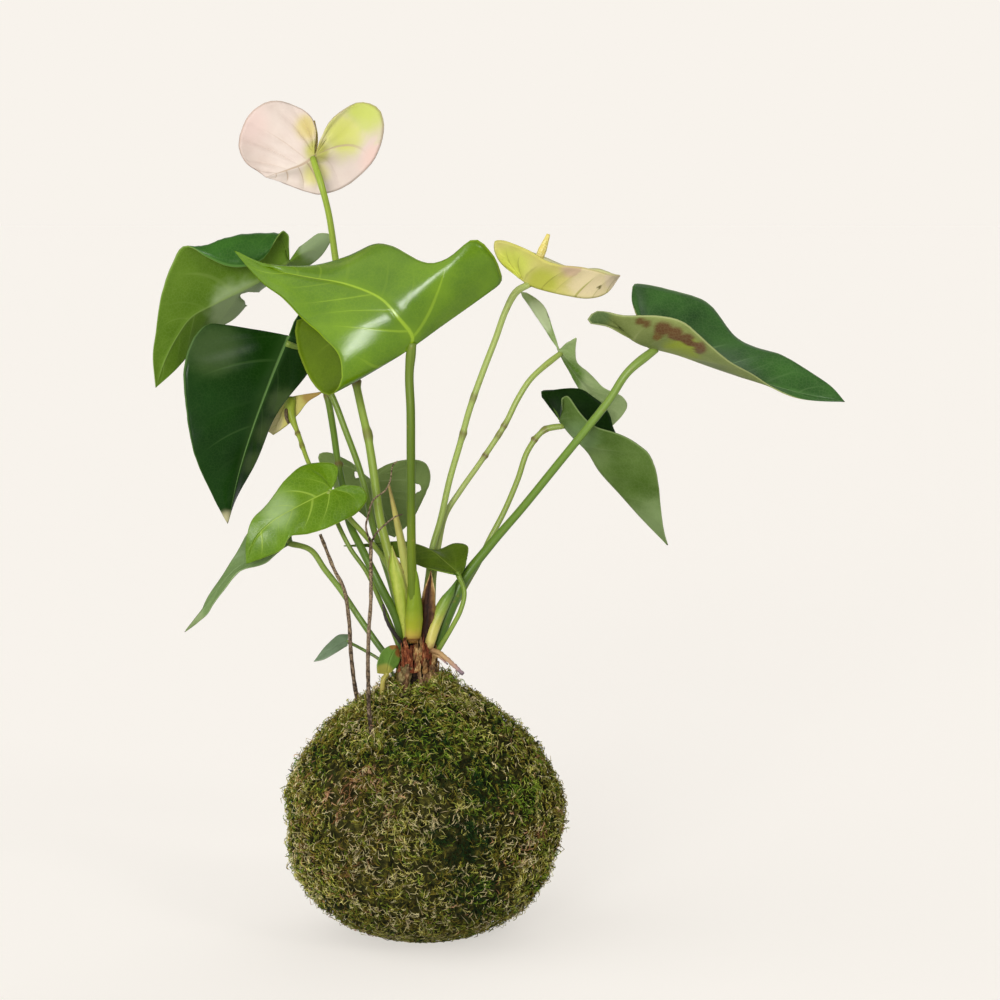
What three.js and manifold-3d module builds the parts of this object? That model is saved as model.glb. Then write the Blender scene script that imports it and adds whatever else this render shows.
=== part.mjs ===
import * as THREE from "three";
import { mergeVertices } from "three/addons/utils/BufferGeometryUtils.js";
import Module from "manifold-3d";

// A flamingo flower (Anthurium) growing from a moss ball, in millimetres, +Z up. The origin is the middle
// of the flat spot under the ball. X runs along the plant's widest side, and -Y is the side it faces.

const wasm = await Module();
wasm.setup();

// Moss ball
const ballRadius = 58.6; // at its widest
const widestHeight = 57;
const lowerDepth = 58.1; // of the curve below the widest ring, which the ground cuts flat
const upperHeight = 53;
const lowerRoundness = 2.4; // 2 is an ellipse, more is squarer and less is more pointed
const upperRoundness = 1.65;
const mossThickness = 8;
const lumpHeight = 1.4;
const ballSides = 36;
const ballRings = 10; // above and below the widest ring
const lumpTurns = [2.9, 1.5, 3.4]; // where each wave of lumps starts

// Crown, the brown stock that carries all stems
const crownFoot = 88;
const crownTop = 128;
const crownRadius = 9.4;
const crownCentre = -2; // on X
const crownRidges = 9;
const ridgeHeight = 0.55;
const crownSides = 28;
// The crown's rings: height, and reach as a share of its radius
const crownRings = [
  [crownFoot, 0.55], [94, 0.7], [100, 0.86], [106, 1], [112, 1.02], [117, 1], [121, 1.05], [124.5, 0.98],
  [127, 0.72], [crownTop, 0.4],
];

// Clearances and thin pieces
const gap = 0.35; // between pieces that touch
const bladeThickness = 0.8;
const spatheThickness = 0.8;
const seatReach = 1.6; // of a stem's end along the midrib

// Rows that leave a blade's midrib, and points in each
const fineDetail = { ribs: 7, columns: 4 };
const smallDetail = { ribs: 5, columns: 3 };

const colours = {
  moss: 0x4d5222,
  soil: 0x4a3a2b,
  crown: 0x6b4630,
  root: 0xa98f78,
  dead: 0x2e2620,
  sheath: 0x8a6a44,
  spear: 0xcfc878,
  twig: 0x4a4038,
  stem: 0x86a544,
  darkLeaf: 0x1f4a17,
  leaf: 0x3c6a22,
  brightLeaf: 0x5f9a14,
  greyLeaf: 0x6a7a55,
  pinkSpathe: 0xecd8cc,
  greenSpathe: 0xd6d98c,
  drySpathe: 0xc2c070,
  spadix: 0xe8d070,
};

const plant = new THREE.Group();

function finish(colour, roughness) {
  return new THREE.MeshStandardMaterial({ color: colour, roughness, metalness: 0 });
}

function addPiece(name, solid, material) {
  const kept = solid.getMesh();
  const points = new Float32Array(kept.numVert * 3);
  for (let i = 0; i < kept.numVert; i += 1) {
    points.set(kept.vertProperties.subarray(i * kept.numProp, i * kept.numProp + 3), i * 3);
  }
  const geometry = new THREE.BufferGeometry();
  geometry.setAttribute("position", new THREE.BufferAttribute(points, 3));
  geometry.setIndex(new THREE.BufferAttribute(kept.triVerts, 1));
  geometry.computeVertexNormals();
  const mesh = new THREE.Mesh(geometry, material);
  mesh.name = name;
  plant.add(mesh);
}

function solidOf(geometry) {
  const bare = geometry.clone();
  bare.deleteAttribute("normal");
  bare.deleteAttribute("uv");
  const merged = mergeVertices(bare, 1e-4);
  return new wasm.Manifold(
    new wasm.Mesh({
      numProp: 3,
      vertProperties: new Float32Array(merged.attributes.position.array),
      triVerts: new Uint32Array(merged.index.array),
    }),
  );
}

// The largest body of a solid that a cut may have left with scraps.
function largestBody(solid) {
  const bodies = solid.decompose();
  bodies.sort((a, b) => b.volume() - a.volume());
  return bodies[0];
}

function vector([x, y, z]) {
  return new THREE.Vector3(x, y, z);
}

function smoothCurve(points) {
  return new THREE.CatmullRomCurve3(points.map(vector), false, "centripetal");
}

// The value of an evenly spaced list at a share from 0 to 1 of its length.
function between(values, share) {
  const place = THREE.MathUtils.clamp(share, 0, 1) * (values.length - 1);
  const first = Math.min(Math.floor(place), values.length - 2);
  return THREE.MathUtils.lerp(values[first], values[first + 1], place - first);
}

// A round stalk along a route from its root to its end, with its radii spread evenly along it.
function stalk(route, radii, sides = 8, steps = 14, grow = 0) {
  const path = smoothCurve(route);
  const frames = path.computeFrenetFrames(steps, false);
  const geometry = new THREE.CylinderGeometry(1, 1, 1, sides, steps);
  const places = geometry.attributes.position;
  for (let i = 0; i < places.count; i += 1) {
    const share = places.getY(i) + 0.5;
    const step = Math.round(share * steps);
    const radius = between(radii, share) + grow;
    const place = path.getPointAt(share);
    place.addScaledVector(frames.normals[step], places.getX(i) * radius);
    place.addScaledVector(frames.binormals[step], -places.getZ(i) * radius);
    places.setXYZ(i, place.x, place.y, place.z);
  }
  return solidOf(geometry);
}

// Where the margin of one half of a blade passes the stalk, as a share of the margin's length.
function sharePastStalk(margin, midrib) {
  const stalkEnd = midrib.getPointAt(0);
  const forward = midrib.getPointAt(0.3).sub(stalkEnd).normalize();
  const ahead = midrib.getLength() * 0.1;
  let share = 0.1;
  for (let tried = 0.1; tried <= 0.65; tried += 0.01) {
    if (margin.getPointAt(tried).sub(stalkEnd).dot(forward) < ahead) share = tried;
  }
  return share;
}

// One half of a blade as rows of points. Rows start at the notch by the stalk and end before the tip.
// The first rows, whose number is fan, spread from the stalk's end. The others leave the midrib one by one.
function halfRows(leaf, margin, side, detail) {
  const midrib = smoothCurve(leaf.midrib);
  const tip = leaf.midrib[leaf.midrib.length - 1];
  const edge = smoothCurve([...margin.map((point) => point.slice(0, 3)), tip]);
  const bows = [...margin.map((point) => point[3] ?? 0), 0];
  const rises = [...margin.map((point) => point[4] ?? 0), 0];
  const past = sharePastStalk(edge, midrib);
  const fan = Math.max(2, Math.round((detail.ribs * past) / (1 - past)));
  const rows = [];
  for (let i = 0; i < fan + detail.ribs; i += 1) {
    const along = Math.max(0, (i - fan) / detail.ribs);
    const share = i < fan ? (past * i) / fan : past + (1 - past) * along ** 0.87;
    const foot = midrib.getPointAt(along);
    const place = edge.getUtoTmapping(share);
    const end = edge.getPoint(place);
    const ray = end.clone().sub(foot);
    const upward = edge.getTangent(place).cross(ray).multiplyScalar(side).normalize();
    const bow = between(bows, place);
    const rise = between(rises, place);
    const row = [];
    for (let j = 1; j <= detail.columns; j += 1) {
      const out = j / detail.columns;
      const arch = 4 * out * (1 - out);
      const ripple = leaf.ripple * out * out * Math.sin(share * leaf.ripples * Math.PI * 2);
      const point = foot.clone().addScaledVector(ray, out);
      point.addScaledVector(upward, bow * arch + ripple);
      point.z += rise * arch;
      row.push(point);
    }
    rows.push(row);
  }
  return { rows, fan };
}

// A blade's middle surface: its points, its triangles seen from above, and its outline.
function bladeSurface(leaf, detail) {
  const midrib = smoothCurve(leaf.midrib);
  const points = [];
  const keep = (point) => points.push(point) - 1;
  const spine = [];
  for (let i = 0; i < detail.ribs; i += 1) spine.push(keep(midrib.getPointAt(i / detail.ribs)));
  const tip = keep(midrib.getPointAt(1));
  const sides = [halfRows(leaf, leaf.left, 1, detail), halfRows(leaf, leaf.right, -1, detail)];
  const halves = sides.map(({ rows }) => rows.map((row) => row.map(keep)));
  const faces = [];
  const addFace = (a, b, c, turned) => {
    if (a !== b && b !== c && a !== c) faces.push(turned ? [a, c, b] : [a, b, c]);
  };
  halves.forEach((rows, half) => {
    const full = rows.map((row, i) => [spine[Math.max(0, i - sides[half].fan)], ...row]);
    full.push(full[0].map(() => tip));
    for (let i = 0; i + 1 < full.length; i += 1) {
      for (let j = 0; j < detail.columns; j += 1) {
        addFace(full[i][j], full[i + 1][j], full[i + 1][j + 1], half === 1);
        addFace(full[i][j], full[i + 1][j + 1], full[i][j + 1], half === 1);
      }
    }
  });
  const edgeOf = (rows) => [...rows[0], ...rows.slice(1).map((row) => row[row.length - 1])];
  const outline = [spine[0], ...edgeOf(halves[1]), tip, ...edgeOf(halves[0]).reverse()];
  return { points, faces, outline };
}

function surfaceNormals({ points, faces }) {
  const normals = points.map(() => new THREE.Vector3());
  for (const [a, b, c] of faces) {
    const first = points[b].clone().sub(points[a]);
    const face = first.cross(points[c].clone().sub(points[a]));
    for (const corner of [a, b, c]) normals[corner].add(face);
  }
  return normals.map((normal) => normal.normalize());
}

// A thin solid blade round its middle surface. Grown, it is thicker by that much on each face and edge.
function bladeSolid(leaf, thickness, detail, grow = 0) {
  const surface = bladeSurface(leaf, detail);
  const normals = surfaceNormals(surface);
  const places = surface.points.map((point) => point.clone());
  const { outline, faces } = surface;
  outline.forEach((corner, i) => {
    const before = surface.points[outline[(i + outline.length - 1) % outline.length]];
    const after = surface.points[outline[(i + 1) % outline.length]];
    const outward = after.clone().sub(before).cross(normals[corner]).normalize();
    places[corner].addScaledVector(outward, grow);
  });
  const half = thickness / 2 + grow;
  const upper = places.map((point, i) => point.clone().addScaledVector(normals[i], half));
  const lower = places.map((point, i) => point.clone().addScaledVector(normals[i], -half));
  const count = places.length;
  const triangles = faces.flatMap(([a, b, c]) => [a, b, c, c + count, b + count, a + count]);
  outline.forEach((a, i) => {
    const b = outline[(i + 1) % outline.length];
    triangles.push(b, a, a + count, b, a + count, b + count);
  });
  return new wasm.Manifold(
    new wasm.Mesh({
      numProp: 3,
      vertProperties: new Float32Array([...upper, ...lower].flatMap((point) => point.toArray())),
      triVerts: new Uint32Array(triangles),
    }),
  );
}

// How far the ball's skin lies from its axis at a height, for a skin that lies deeper by inset.
function ballReach(height, inset) {
  const below = height < widestHeight;
  const depth = (below ? lowerDepth : upperHeight) - inset;
  const roundness = below ? lowerRoundness : upperRoundness;
  const share = Math.min(1, Math.abs(height - widestHeight) / depth);
  return (ballRadius - inset) * (1 - share ** roundness) ** (1 / roundness);
}

// Slow waves round and up the ball, from -1 to 1.
function lumpAt(turn, height) {
  const first = Math.sin(3 * turn + 0.09 * height + lumpTurns[0]);
  const second = Math.sin(5 * turn - 0.13 * height + lumpTurns[1]);
  return (first + second + Math.sin(turn + 0.21 * height + lumpTurns[2])) / 3;
}

// The ball, or what is left of it when a layer as thick as inset is taken off.
function ballSolid(inset, lumps) {
  const lower = lowerDepth - inset;
  const flatAngle = Math.asin((widestHeight - inset) / lower);
  const profile = [new THREE.Vector2(0, inset)];
  for (let i = 0; i <= ballRings; i += 1) {
    const height = i ? widestHeight - lower * Math.sin(flatAngle * (1 - i / ballRings)) : inset;
    profile.push(new THREE.Vector2(ballReach(height, inset), height));
  }
  for (let i = 1; i < ballRings; i += 1) {
    const height = widestHeight + (upperHeight - inset) * Math.sin((Math.PI / 2) * (i / ballRings));
    profile.push(new THREE.Vector2(ballReach(height, inset), height));
  }
  profile.push(new THREE.Vector2(0, widestHeight + upperHeight - inset));
  const geometry = new THREE.LatheGeometry(profile, ballSides);
  geometry.rotateX(Math.PI / 2);
  const places = geometry.attributes.position;
  for (let i = 0; i < places.count; i += 1) {
    const x = places.getX(i);
    const y = places.getY(i);
    const z = places.getZ(i);
    const reach = Math.hypot(x, y);
    const fade = THREE.MathUtils.smoothstep(z, 0, 14) * THREE.MathUtils.smoothstep(reach, 8, 30);
    const grown = reach < 1e-6 ? 1 : 1 + (lumps * lumpAt(Math.atan2(y, x), z) * fade) / reach;
    places.setXYZ(i, x * grown, y * grown, z);
  }
  return solidOf(geometry);
}

function crownSolid(grow) {
  const ring = ([height, share]) => new THREE.Vector2(crownRadius * share + grow, height);
  const profile = crownRings.map(ring);
  profile[0].y -= grow;
  profile[profile.length - 1].y += grow;
  profile.unshift(new THREE.Vector2(0, profile[0].y));
  profile.push(new THREE.Vector2(0, profile[profile.length - 1].y));
  const geometry = new THREE.LatheGeometry(profile, crownSides);
  geometry.rotateX(Math.PI / 2);
  const places = geometry.attributes.position;
  for (let i = 0; i < places.count; i += 1) {
    const x = places.getX(i);
    const y = places.getY(i);
    const z = places.getZ(i);
    const reach = Math.hypot(x, y);
    const ridge = ridgeHeight * Math.sin(crownRidges * Math.atan2(y, x) + 0.12 * z);
    const grown = reach < 1e-6 ? 1 : 1 + ridge / reach;
    places.setXYZ(i, x * grown + crownCentre, y * grown, z);
  }
  return solidOf(geometry);
}

// Leaves. A midrib runs from the stalk to the tip, and each margin from the notch by the stalk to the tip.
// A margin point is x, y, z, then how far the blade bows up between the midrib and that point, and how
// far it rises there. Left is on the left when the upper side is seen with the tip ahead.
const leaves = {
  far_right: {
    midrib: [
      [94, -14, 252], [106, -13, 249], [120, -12, 244], [135, -12, 239], [160, -13, 232], [176, -14, 229],
    ],
    left: [
      [91, -8, 259], [89, 2, 267], [89, 10, 277], [96, 14, 277, -2], [112, 18, 272, -3], [121, 18, 268, -3],
      [133, 11, 255, -2], [142, 6, 250, -1], [151, 0, 247, -1], [170, -11, 236],
    ],
    right: [
      [91, -20, 253], [84, -28, 258, -1], [76, -33, 262, -2], [68, -35, 263, -2], [70, -32, 267, -3],
      [75, -30, 268, -3], [83, -34, 266, -3], [98, -38, 265, -3], [107, -38, 263, -3], [119, -33, 254, -2],
      [128, -27, 246, -1], [137, -21, 240, -1], [145, -17, 235], [157, -15, 231],
    ],
    stem: [
      [3.5, 1, 118], [5.5, 1, 124], [9.5, 1, 136], [16.5, 2, 151.5], [28.5, 0, 167.5], [41, -4, 182.5],
      [57.5, -9, 203.5], [70, -13, 219.5], [78, -15, 230], [85.5, -16, 241.5],
    ],
    stemRadii: [2.2, 2.9, 2, 1.7, 1.7, 1.7, 1.7, 1.7],
    colour: colours.darkLeaf,
  },
  folded_right: {
    midrib: [[58, 34, 248], [65, 40, 238], [72, 46, 228], [77, 49, 220], [82, 52, 214]],
    left: [
      [55, 36, 257], [52, 38, 266], [48, 39, 270], [42, 40, 273], [46, 42, 267], [49, 43, 260],
      [55, 42, 253],
      [60, 42, 246, -1], [63, 45, 239, -1], [66, 49, 231, -1], [73, 53, 220],
    ],
    right: [
      [61, 31, 251], [65, 28, 253], [65, 31, 249], [66, 35, 243, -1], [70, 38, 238, -2], [76, 40, 233, -2],
      [84, 43, 228, -2], [88, 47, 223, -1], [86, 50, 219],
    ],
    stem: [
      [1, 5, 119.5], [2.5, 8, 125.5], [3.5, 12, 140], [4, 18, 152], [6, 22, 164.5], [9, 24, 177.5],
      [15.5, 25, 188], [24, 26, 200], [34.5, 27, 216], [40, 28, 227], [45.5, 29, 235.5],
      [52, 31, 241.5],
    ],
    stemRadii: [1.5, 1.4, 1.3, 1.2, 1.3, 1.2],
    colour: colours.leaf,
  },
  hanging_right: {
    midrib: [
      [58, 14, 219], [63, 13, 213], [70, 12, 206], [75, 11, 198], [84, 10, 188], [92, 10, 179],
      [104, 11, 166],
    ],
    left: [
      [57, 18, 222], [54, 22, 226], [50, 26, 230], [55, 30, 231, -1], [63, 34, 232, -2], [68, 36, 231, -2],
      [73, 37, 227, -2], [78, 37, 222, -2], [82, 35, 213, -2], [89, 31, 202, -2],
      [96, 23, 188, -1], [100, 15, 175],
    ],
    right: [
      [59, 7, 224], [60, 2, 230], [65, -2, 225, -1], [72, -5, 219, -2], [81, -7, 215, -2],
      [89, -8, 211, -2],
      [95, -7, 207, -2], [98, -5, 201, -2], [99, -3, 194, -1], [100, 2, 185, -1], [102, 6, 175],
    ],
    stem: [
      [2.5, 4, 117.5], [6, 6, 123.5], [10.5, 8, 135], [17.5, 9, 148.5], [24, 9, 160], [28, 9, 168.5],
      [34.5, 10, 181], [40, 11, 194], [44.5, 13, 206.5], [51.5, 14, 215],
    ],
    stemRadii: [1.4, 1.4, 1.3, 1.2, 1.2, 1.2],
    colour: colours.leaf,
  },
  middle: {
    midrib: [
      [-5.5, -21.5, 251], [-3.5, -24, 255.8], [-9, -27.8, 264.3], [-16, -26, 272.1], [-31, -18.5, 278],
      [-46, -11, 280.5], [-61, -4.5, 283.5], [-79, 2, 291.5],
    ],
    left: [
      [-9, -15, 254.4], [-17, -7, 258.5], [-30.5, 2, 262], [-43, 6, 263], [-53, 6, 262],
      [-52, 1, 249], [-45, -8, 235.5], [-38, -17, 232], [-33, -24.5, 239, 1], [-33.5, -25.5, 248.5, 2],
      [-41, -22.5, 257, 2.5], [-49, -16, 263.3, 2], [-58, -9, 272, 2], [-66, -4.5, 277.5, 1.5],
      [-72, -2, 283.5, 1],
    ],
    right: [
      [2, -19.5, 256.3], [7, -18.5, 260], [14, -17.7, 265.8], [24, -17, 273], [33, -17.5, 279.3],
      [28.5, -24, 291.7, 2], [22, -25, 296.7, 3], [11, -26, 288.8, 2], [3, -25, 286.8, 1],
      [-12, -14, 293.5, 1], [-19, -9, 294.4, 1], [-32, -2, 288.8, 1], [-46, -3, 285.2, 1],
      [-65, -3, 286, 1],
    ],
    stem: [
      [-3.5, -7, 119], [-3.5, -9.5, 128], [-4, -12.5, 145.5], [-4.5, -15, 167], [-4.5, -17, 188.5],
      [-4.5, -19, 209.5], [-4.5, -20, 226], [-5, -20.5, 241],
    ],
    stemRadii: [2.8, 3.2, 2.8, 2.2, 1.9, 1.9, 1.9, 1.9, 1.9, 1.9, 1.9],
    ripple: 0,
    colour: colours.brightLeaf,
  },
  top_left: {
    midrib: [
      [-58, 32, 286], [-70, 30, 278], [-88, 24, 269], [-99, 20, 263], [-105, 18, 255], [-110, 16, 245],
      [-114, 15, 233],
    ],
    left: [
      [-58, 27, 292], [-59, 22, 299, 0, 2], [-68, 16, 288, 0, 12], [-76, 13, 285, 0, 15],
      [-84, 12, 285, 0, 16],
      [-92, 11, 288, 0, 13], [-101, 12, 293, 0, 3], [-107, 11, 284], [-110, 11, 275],
      [-113, 13, 258], [-115, 14, 247],
    ],
    right: [
      [-54, 36, 292], [-46, 38, 298], [-40, 40, 297], [-44, 42, 290], [-53, 43, 283], [-71, 45, 273],
      [-77, 45, 268], [-84, 41, 261], [-90, 36, 257], [-98, 28, 250], [-104, 22, 243],
    ],
    stem: [
      [-8.5, -3, 121], [-11, -6, 136], [-18, -7, 151], [-25.5, -3, 165.5], [-31.5, 3, 177],
      [-34.5, 10, 192], [-36.5, 15, 200], [-39, 23, 214.5], [-42, 30, 229], [-48.5, 36, 252],
      [-54, 38, 269.5],
    ],
    stemRadii: [1.8, 1.9, 1.6, 1.5, 1.5, 1.5, 1.5],
    colour: colours.leaf,
  },
  hanging_left: {
    midrib: [[-57, 14, 255], [-65, 8, 235], [-72, 4, 216], [-78, 3, 197], [-83, 4, 176]],
    left: [
      [-55, 17, 261], [-52, 22, 266], [-44, 28, 260], [-43, 29, 248], [-50, 24, 239], [-57, 19, 230],
      [-63, 15, 220], [-69, 12, 208], [-75, 9, 195], [-79, 7, 186],
    ],
    right: [
      [-64, 16, 256], [-74, 14, 257], [-84, 9, 260], [-90, 5, 261], [-96, 0, 255, 1], [-100, -5, 243, 2],
      [-99, -6, 227, 2], [-96, -4, 206, 2], [-89, 0, 189, 1],
    ],
    stem: [
      [-6.5, 4, 119.5], [-9.5, 10, 131.5], [-14.5, 14, 150.5], [-19.5, 16, 165.5], [-22.5, 16, 176],
      [-25, 16, 189], [-28, 17, 199.5], [-33.5, 18, 214.5], [-39, 20, 228.5], [-45.5, 23, 240],
      [-51, 23, 247.5],
    ],
    stemRadii: [1.4, 1.5, 1.4, 1.4, 1.4, 1.4],
    colour: colours.darkLeaf,
  },
  heart: {
    midrib: [
      [-38, -12, 192], [-47, -16, 188], [-55, -19, 184], [-62, -21, 180], [-69, -22, 173],
      [-73, -21, 162],
    ],
    left: [
      [-33, -11, 194], [-26, -10, 193], [-23, -11, 189], [-27, -15, 183, 1], [-32, -18, 180, 1],
      [-39, -21, 177, 1], [-48, -24, 175, 1], [-54, -26, 174, 1], [-57, -25, 169], [-65, -23, 165],
    ],
    right: [
      [-36, -9, 196], [-36, -6, 201], [-43, -6, 203], [-50, -8, 202, 1], [-57, -11, 196, 1],
      [-66, -17, 185, 1],
      [-71, -20, 179], [-73, -22, 171],
    ],
    stem: [
      [-5, 5, 119.5], [-6.5, 6, 130], [-10, 6, 145], [-16.5, 6, 160], [-23.5, 1.5, 170], [-31, -5, 179.5],
    ],
    stemRadii: [1.3, 1.2, 1.2, 1.2, 1.2],
    colour: colours.brightLeaf,
  },
  narrow_left: {
    midrib: [[-55, -6, 170], [-67, -9, 165], [-79, -12, 158], [-89, -13, 146], [-100, -12, 132]],
    left: [
      [-57, -9, 168], [-65, -13, 162], [-74, -15, 159], [-80, -16, 154], [-85, -16, 149],
      [-89, -14, 141],
    ],
    right: [
      [-56, -2, 175], [-65, -2, 178], [-73, -5, 174], [-78, -8, 165], [-85, -10, 155], [-92, -11, 142],
    ],
    stem: [
      [-10, -3, 115.5], [-15.5, -5, 121], [-26.5, -3, 136], [-35, -1, 148.5], [-41.5, -1, 157],
      [-47.5, -2, 165.5],
    ],
    stemRadii: [1.4, 1.4, 1.3, 1.3, 1.2],
    colour: colours.leaf,
  },
  back: {
    midrib: [[-24, 50, 190], [-21, 53, 181], [-17, 55, 172], [-14, 56, 164]],
    left: [
      [-29, 50, 194], [-36, 51, 199], [-42, 52, 202], [-47, 52, 201], [-44, 53, 192], [-36, 54, 181],
      [-28, 55, 174], [-20, 56, 167],
    ],
    right: [
      [-22, 50, 194], [-16, 51, 197], [-7, 52, 199], [0, 53, 197], [2, 54, 191], [-1, 55, 182],
      [-6, 56, 172],
      [-11, 56, 167],
    ],
    stem: [
      [-3, 6, 119.5], [-4.5, 11, 129.5], [-9.5, 19, 143.5], [-14.5, 30, 157], [-19, 41, 173.5],
    ],
    stemRadii: [1.2, 1.2, 1.2, 1.1],
    colour: colours.greyLeaf,
  },
  small_folded: {
    midrib: [[16, -6, 155], [10, -2, 160], [3, 3, 165], [-8, 8, 168], [-21, 9, 167], [-34, 8, 166]],
    left: [
      [13, -8, 156], [7, -6, 157], [1, -2, 158], [-6, 3, 160], [-13, 6, 162], [-19, 8, 164],
      [-26, 8, 166],
    ],
    right: [
      [18, -4, 159], [19, 1, 166], [18, 4, 167], [13, 8, 167], [6, 11, 164], [-5, 13, 165],
      [-19, 13, 165],
    ],
    stem: [
      [3, -3, 118], [6.5, -6, 123.5], [12, -8, 133], [16, -9, 141], [17.5, -8, 148.5],
    ],
    stemRadii: [1.1, 1, 1, 1],
    ripple: 0,
    colour: colours.darkLeaf,
    small: true,
  },
  tiny_left: {
    midrib: [[-32, -2, 127], [-38, -6, 124], [-46, -9, 119]],
    left: [[-32, -4, 125], [-38, -9, 122], [-42, -10, 120]],
    right: [[-32, 1, 129], [-36, -1, 129], [-40, -4, 126], [-43, -7, 123]],
    stem: [
      [-10.5, -3, 108.5], [-14, -3, 114.5], [-19, -2, 119], [-25, -1, 122.5],
    ],
    stemRadii: [0.7, 0.7],
    ripple: 0,
    colour: colours.greyLeaf,
    small: true,
    inMoss: true,
  },
  tiny_crown: {
    midrib: [[-15, -12, 114], [-14, -13, 120], [-11, -9, 126]],
    left: [[-19, -15, 115], [-19, -16, 119], [-17, -14, 124], [-14, -11, 126]],
    right: [[-13, -11, 115], [-10, -9, 119], [-10, -8, 123]],
    stem: [
      [-17, -12, 103], [-17, -13, 108.5], [-16.5, -13, 112],
    ],
    stemRadii: [1.2, 1.1, 1],
    ripple: 0,
    colour: colours.leaf,
    small: true,
    inMoss: true,
  },
};

// Flowers: the spathe is a coloured blade, and the spadix a spike that stands on its upper side.
const flowers = {
  top: {
    midrib: [[-46, 20, 331], [-51, 21, 327.5], [-58, 22, 325], [-67, 22, 322]],
    left: [
      [-44, 22, 337], [-39, 24, 346, -1], [-33, 25, 351, -2], [-27, 26, 354, -2], [-20, 26, 352, -3],
      [-17, 25, 346, -3], [-18, 24, 336.5, -3], [-22, 24, 328, -3], [-32, 24, 319, -3],
      [-44, 23.5, 315, -2],
      [-53, 23, 317, -2], [-61, 22.6, 320, -0.5],
    ],
    right: [
      [-46, 22.5, 338], [-47.5, 25, 347, -1], [-56, 28, 353, -2], [-65, 28, 354, -3], [-74, 27, 349, -3],
      [-78, 25, 339.5, -3], [-78, 24, 333, -3], [-75, 23, 328, -2], [-70.5, 22.3, 325, -0.5],
    ],
    stem: [
      [-5.5, 1, 120], [-8, 1, 129], [-10, 0, 144], [-14, 1, 161], [-18.5, 5, 178.5], [-21, 9, 196],
      [-23.5, 13, 211], [-26.5, 17, 223.5], [-29.5, 20, 237], [-34, 24, 261.5], [-37.5, 22, 287],
      [-40, 16.5, 306.5], [-43, 14.5, 319],
    ],
    stemRadii: [1.8, 2, 2, 1.8, 1.7, 1.6, 1.4, 1.3],
    spadix: [[-47, 23, 332], [-46.5, 26.5, 335], [-46.5, 30, 339], [-47, 32.5, 346]],
    spadixRadii: [1.3, 1.4, 1.3, 0.5],
    colour: colours.pinkSpathe,
    spadixColour: colours.spadix,
  },
  right: {
    midrib: [[43, 10, 278], [48, 8, 276], [61, 4, 273], [70, 3, 272], [77, 4, 274], [83, 6, 281]],
    left: [
      [40, 16, 280], [35, 22, 288], [34, 28, 292], [41, 34, 291], [52, 36, 287], [68, 32, 283],
      [78, 20, 282],
    ],
    right: [
      [38, 6, 282], [31, 4, 290], [30, 4, 295], [34, 1, 296], [42, -6, 292], [51, -10, 288], [67, -9, 284],
      [77, -3, 282],
    ],
    stem: [
      [-1.5, 2, 120], [-0.5, 4, 128.5], [0.5, 7, 141], [2, 11, 153], [3.5, 16, 164], [7, 17, 176],
      [11, 17, 193.5], [15.5, 17, 209], [19.5, 16, 223.5], [25.5, 15, 240.5], [30.5, 14, 253.5],
      [35, 12, 266], [39.5, 11, 274],
    ],
    stemRadii: [1.5, 1.4, 1.4, 1.4, 1.4, 1.4],
    spadix: [[45, 11.5, 279], [49, 12, 288], [53, 14, 298]],
    spadixRadii: [1.8, 1.9, 1.8, 0.8],
    colour: colours.greenSpathe,
    spadixColour: colours.spadix,
  },
  withered: {
    midrib: [[-57, 28, 228], [-60, 27, 224], [-62, 26, 219], [-65, 25, 212]],
    left: [[-52, 29, 228], [-44, 28, 230], [-50, 28, 226], [-54, 26, 221], [-58, 24, 217], [-62, 24, 214]],
    right: [[-60, 31, 228], [-65, 32, 226], [-69, 31, 221], [-69, 29, 215]],
    stem: [
      [-9, 1, 120], [-13.5, 1, 132], [-18.5, 0, 144], [-24, 0, 156], [-31, 1, 166], [-37, 4, 177.5],
      [-43, 8, 190], [-49, 13, 201], [-53.5, 20, 212], [-57.5, 25, 222],
    ],
    stemRadii: [1.2, 1.1, 1, 1, 1, 1, 1, 1, 2.6],
    spadix: [[-59, 24, 223], [-59, 22, 220], [-58, 22, 217]],
    spadixRadii: [0.9, 0.8, 0.5],
    colour: colours.drySpathe,
    spadixColour: colours.twig,
    ripple: 0,
    small: true,
  },
};

// Dry twigs stand in the moss. The front one ends in two thin tendrils.
const leftTwig = [
  [-27, -9, 97], [-28, -10, 104], [-30, -11, 120], [-31, -11, 137], [-33, -11, 150], [-37, -10, 158],
  [-43, -9, 173],
];
const frontTwig = [
  [-20, -36, 90], [-21, -35, 95], [-22, -33, 111], [-22, -31, 131], [-21, -29, 148], [-21, -27, 164],
  [-21, -26, 172],
];
const highTendril = [
  [-21, -26, 171], [-23, -26, 178], [-22, -25, 183], [-20, -24, 189], [-15, -23, 193], [-13, -22, 197],
  [-12, -21, 203], [-10, -21, 205],
];
const lowTendril = [[-21, -26, 171], [-19, -26, 175], [-15, -25, 179], [-11, -24, 182], [-8, -23, 183]];
const twigRadii = [1, 0.9, 0.8];
const tendrilRadii = [0.5, 0.4, 0.3];

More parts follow.
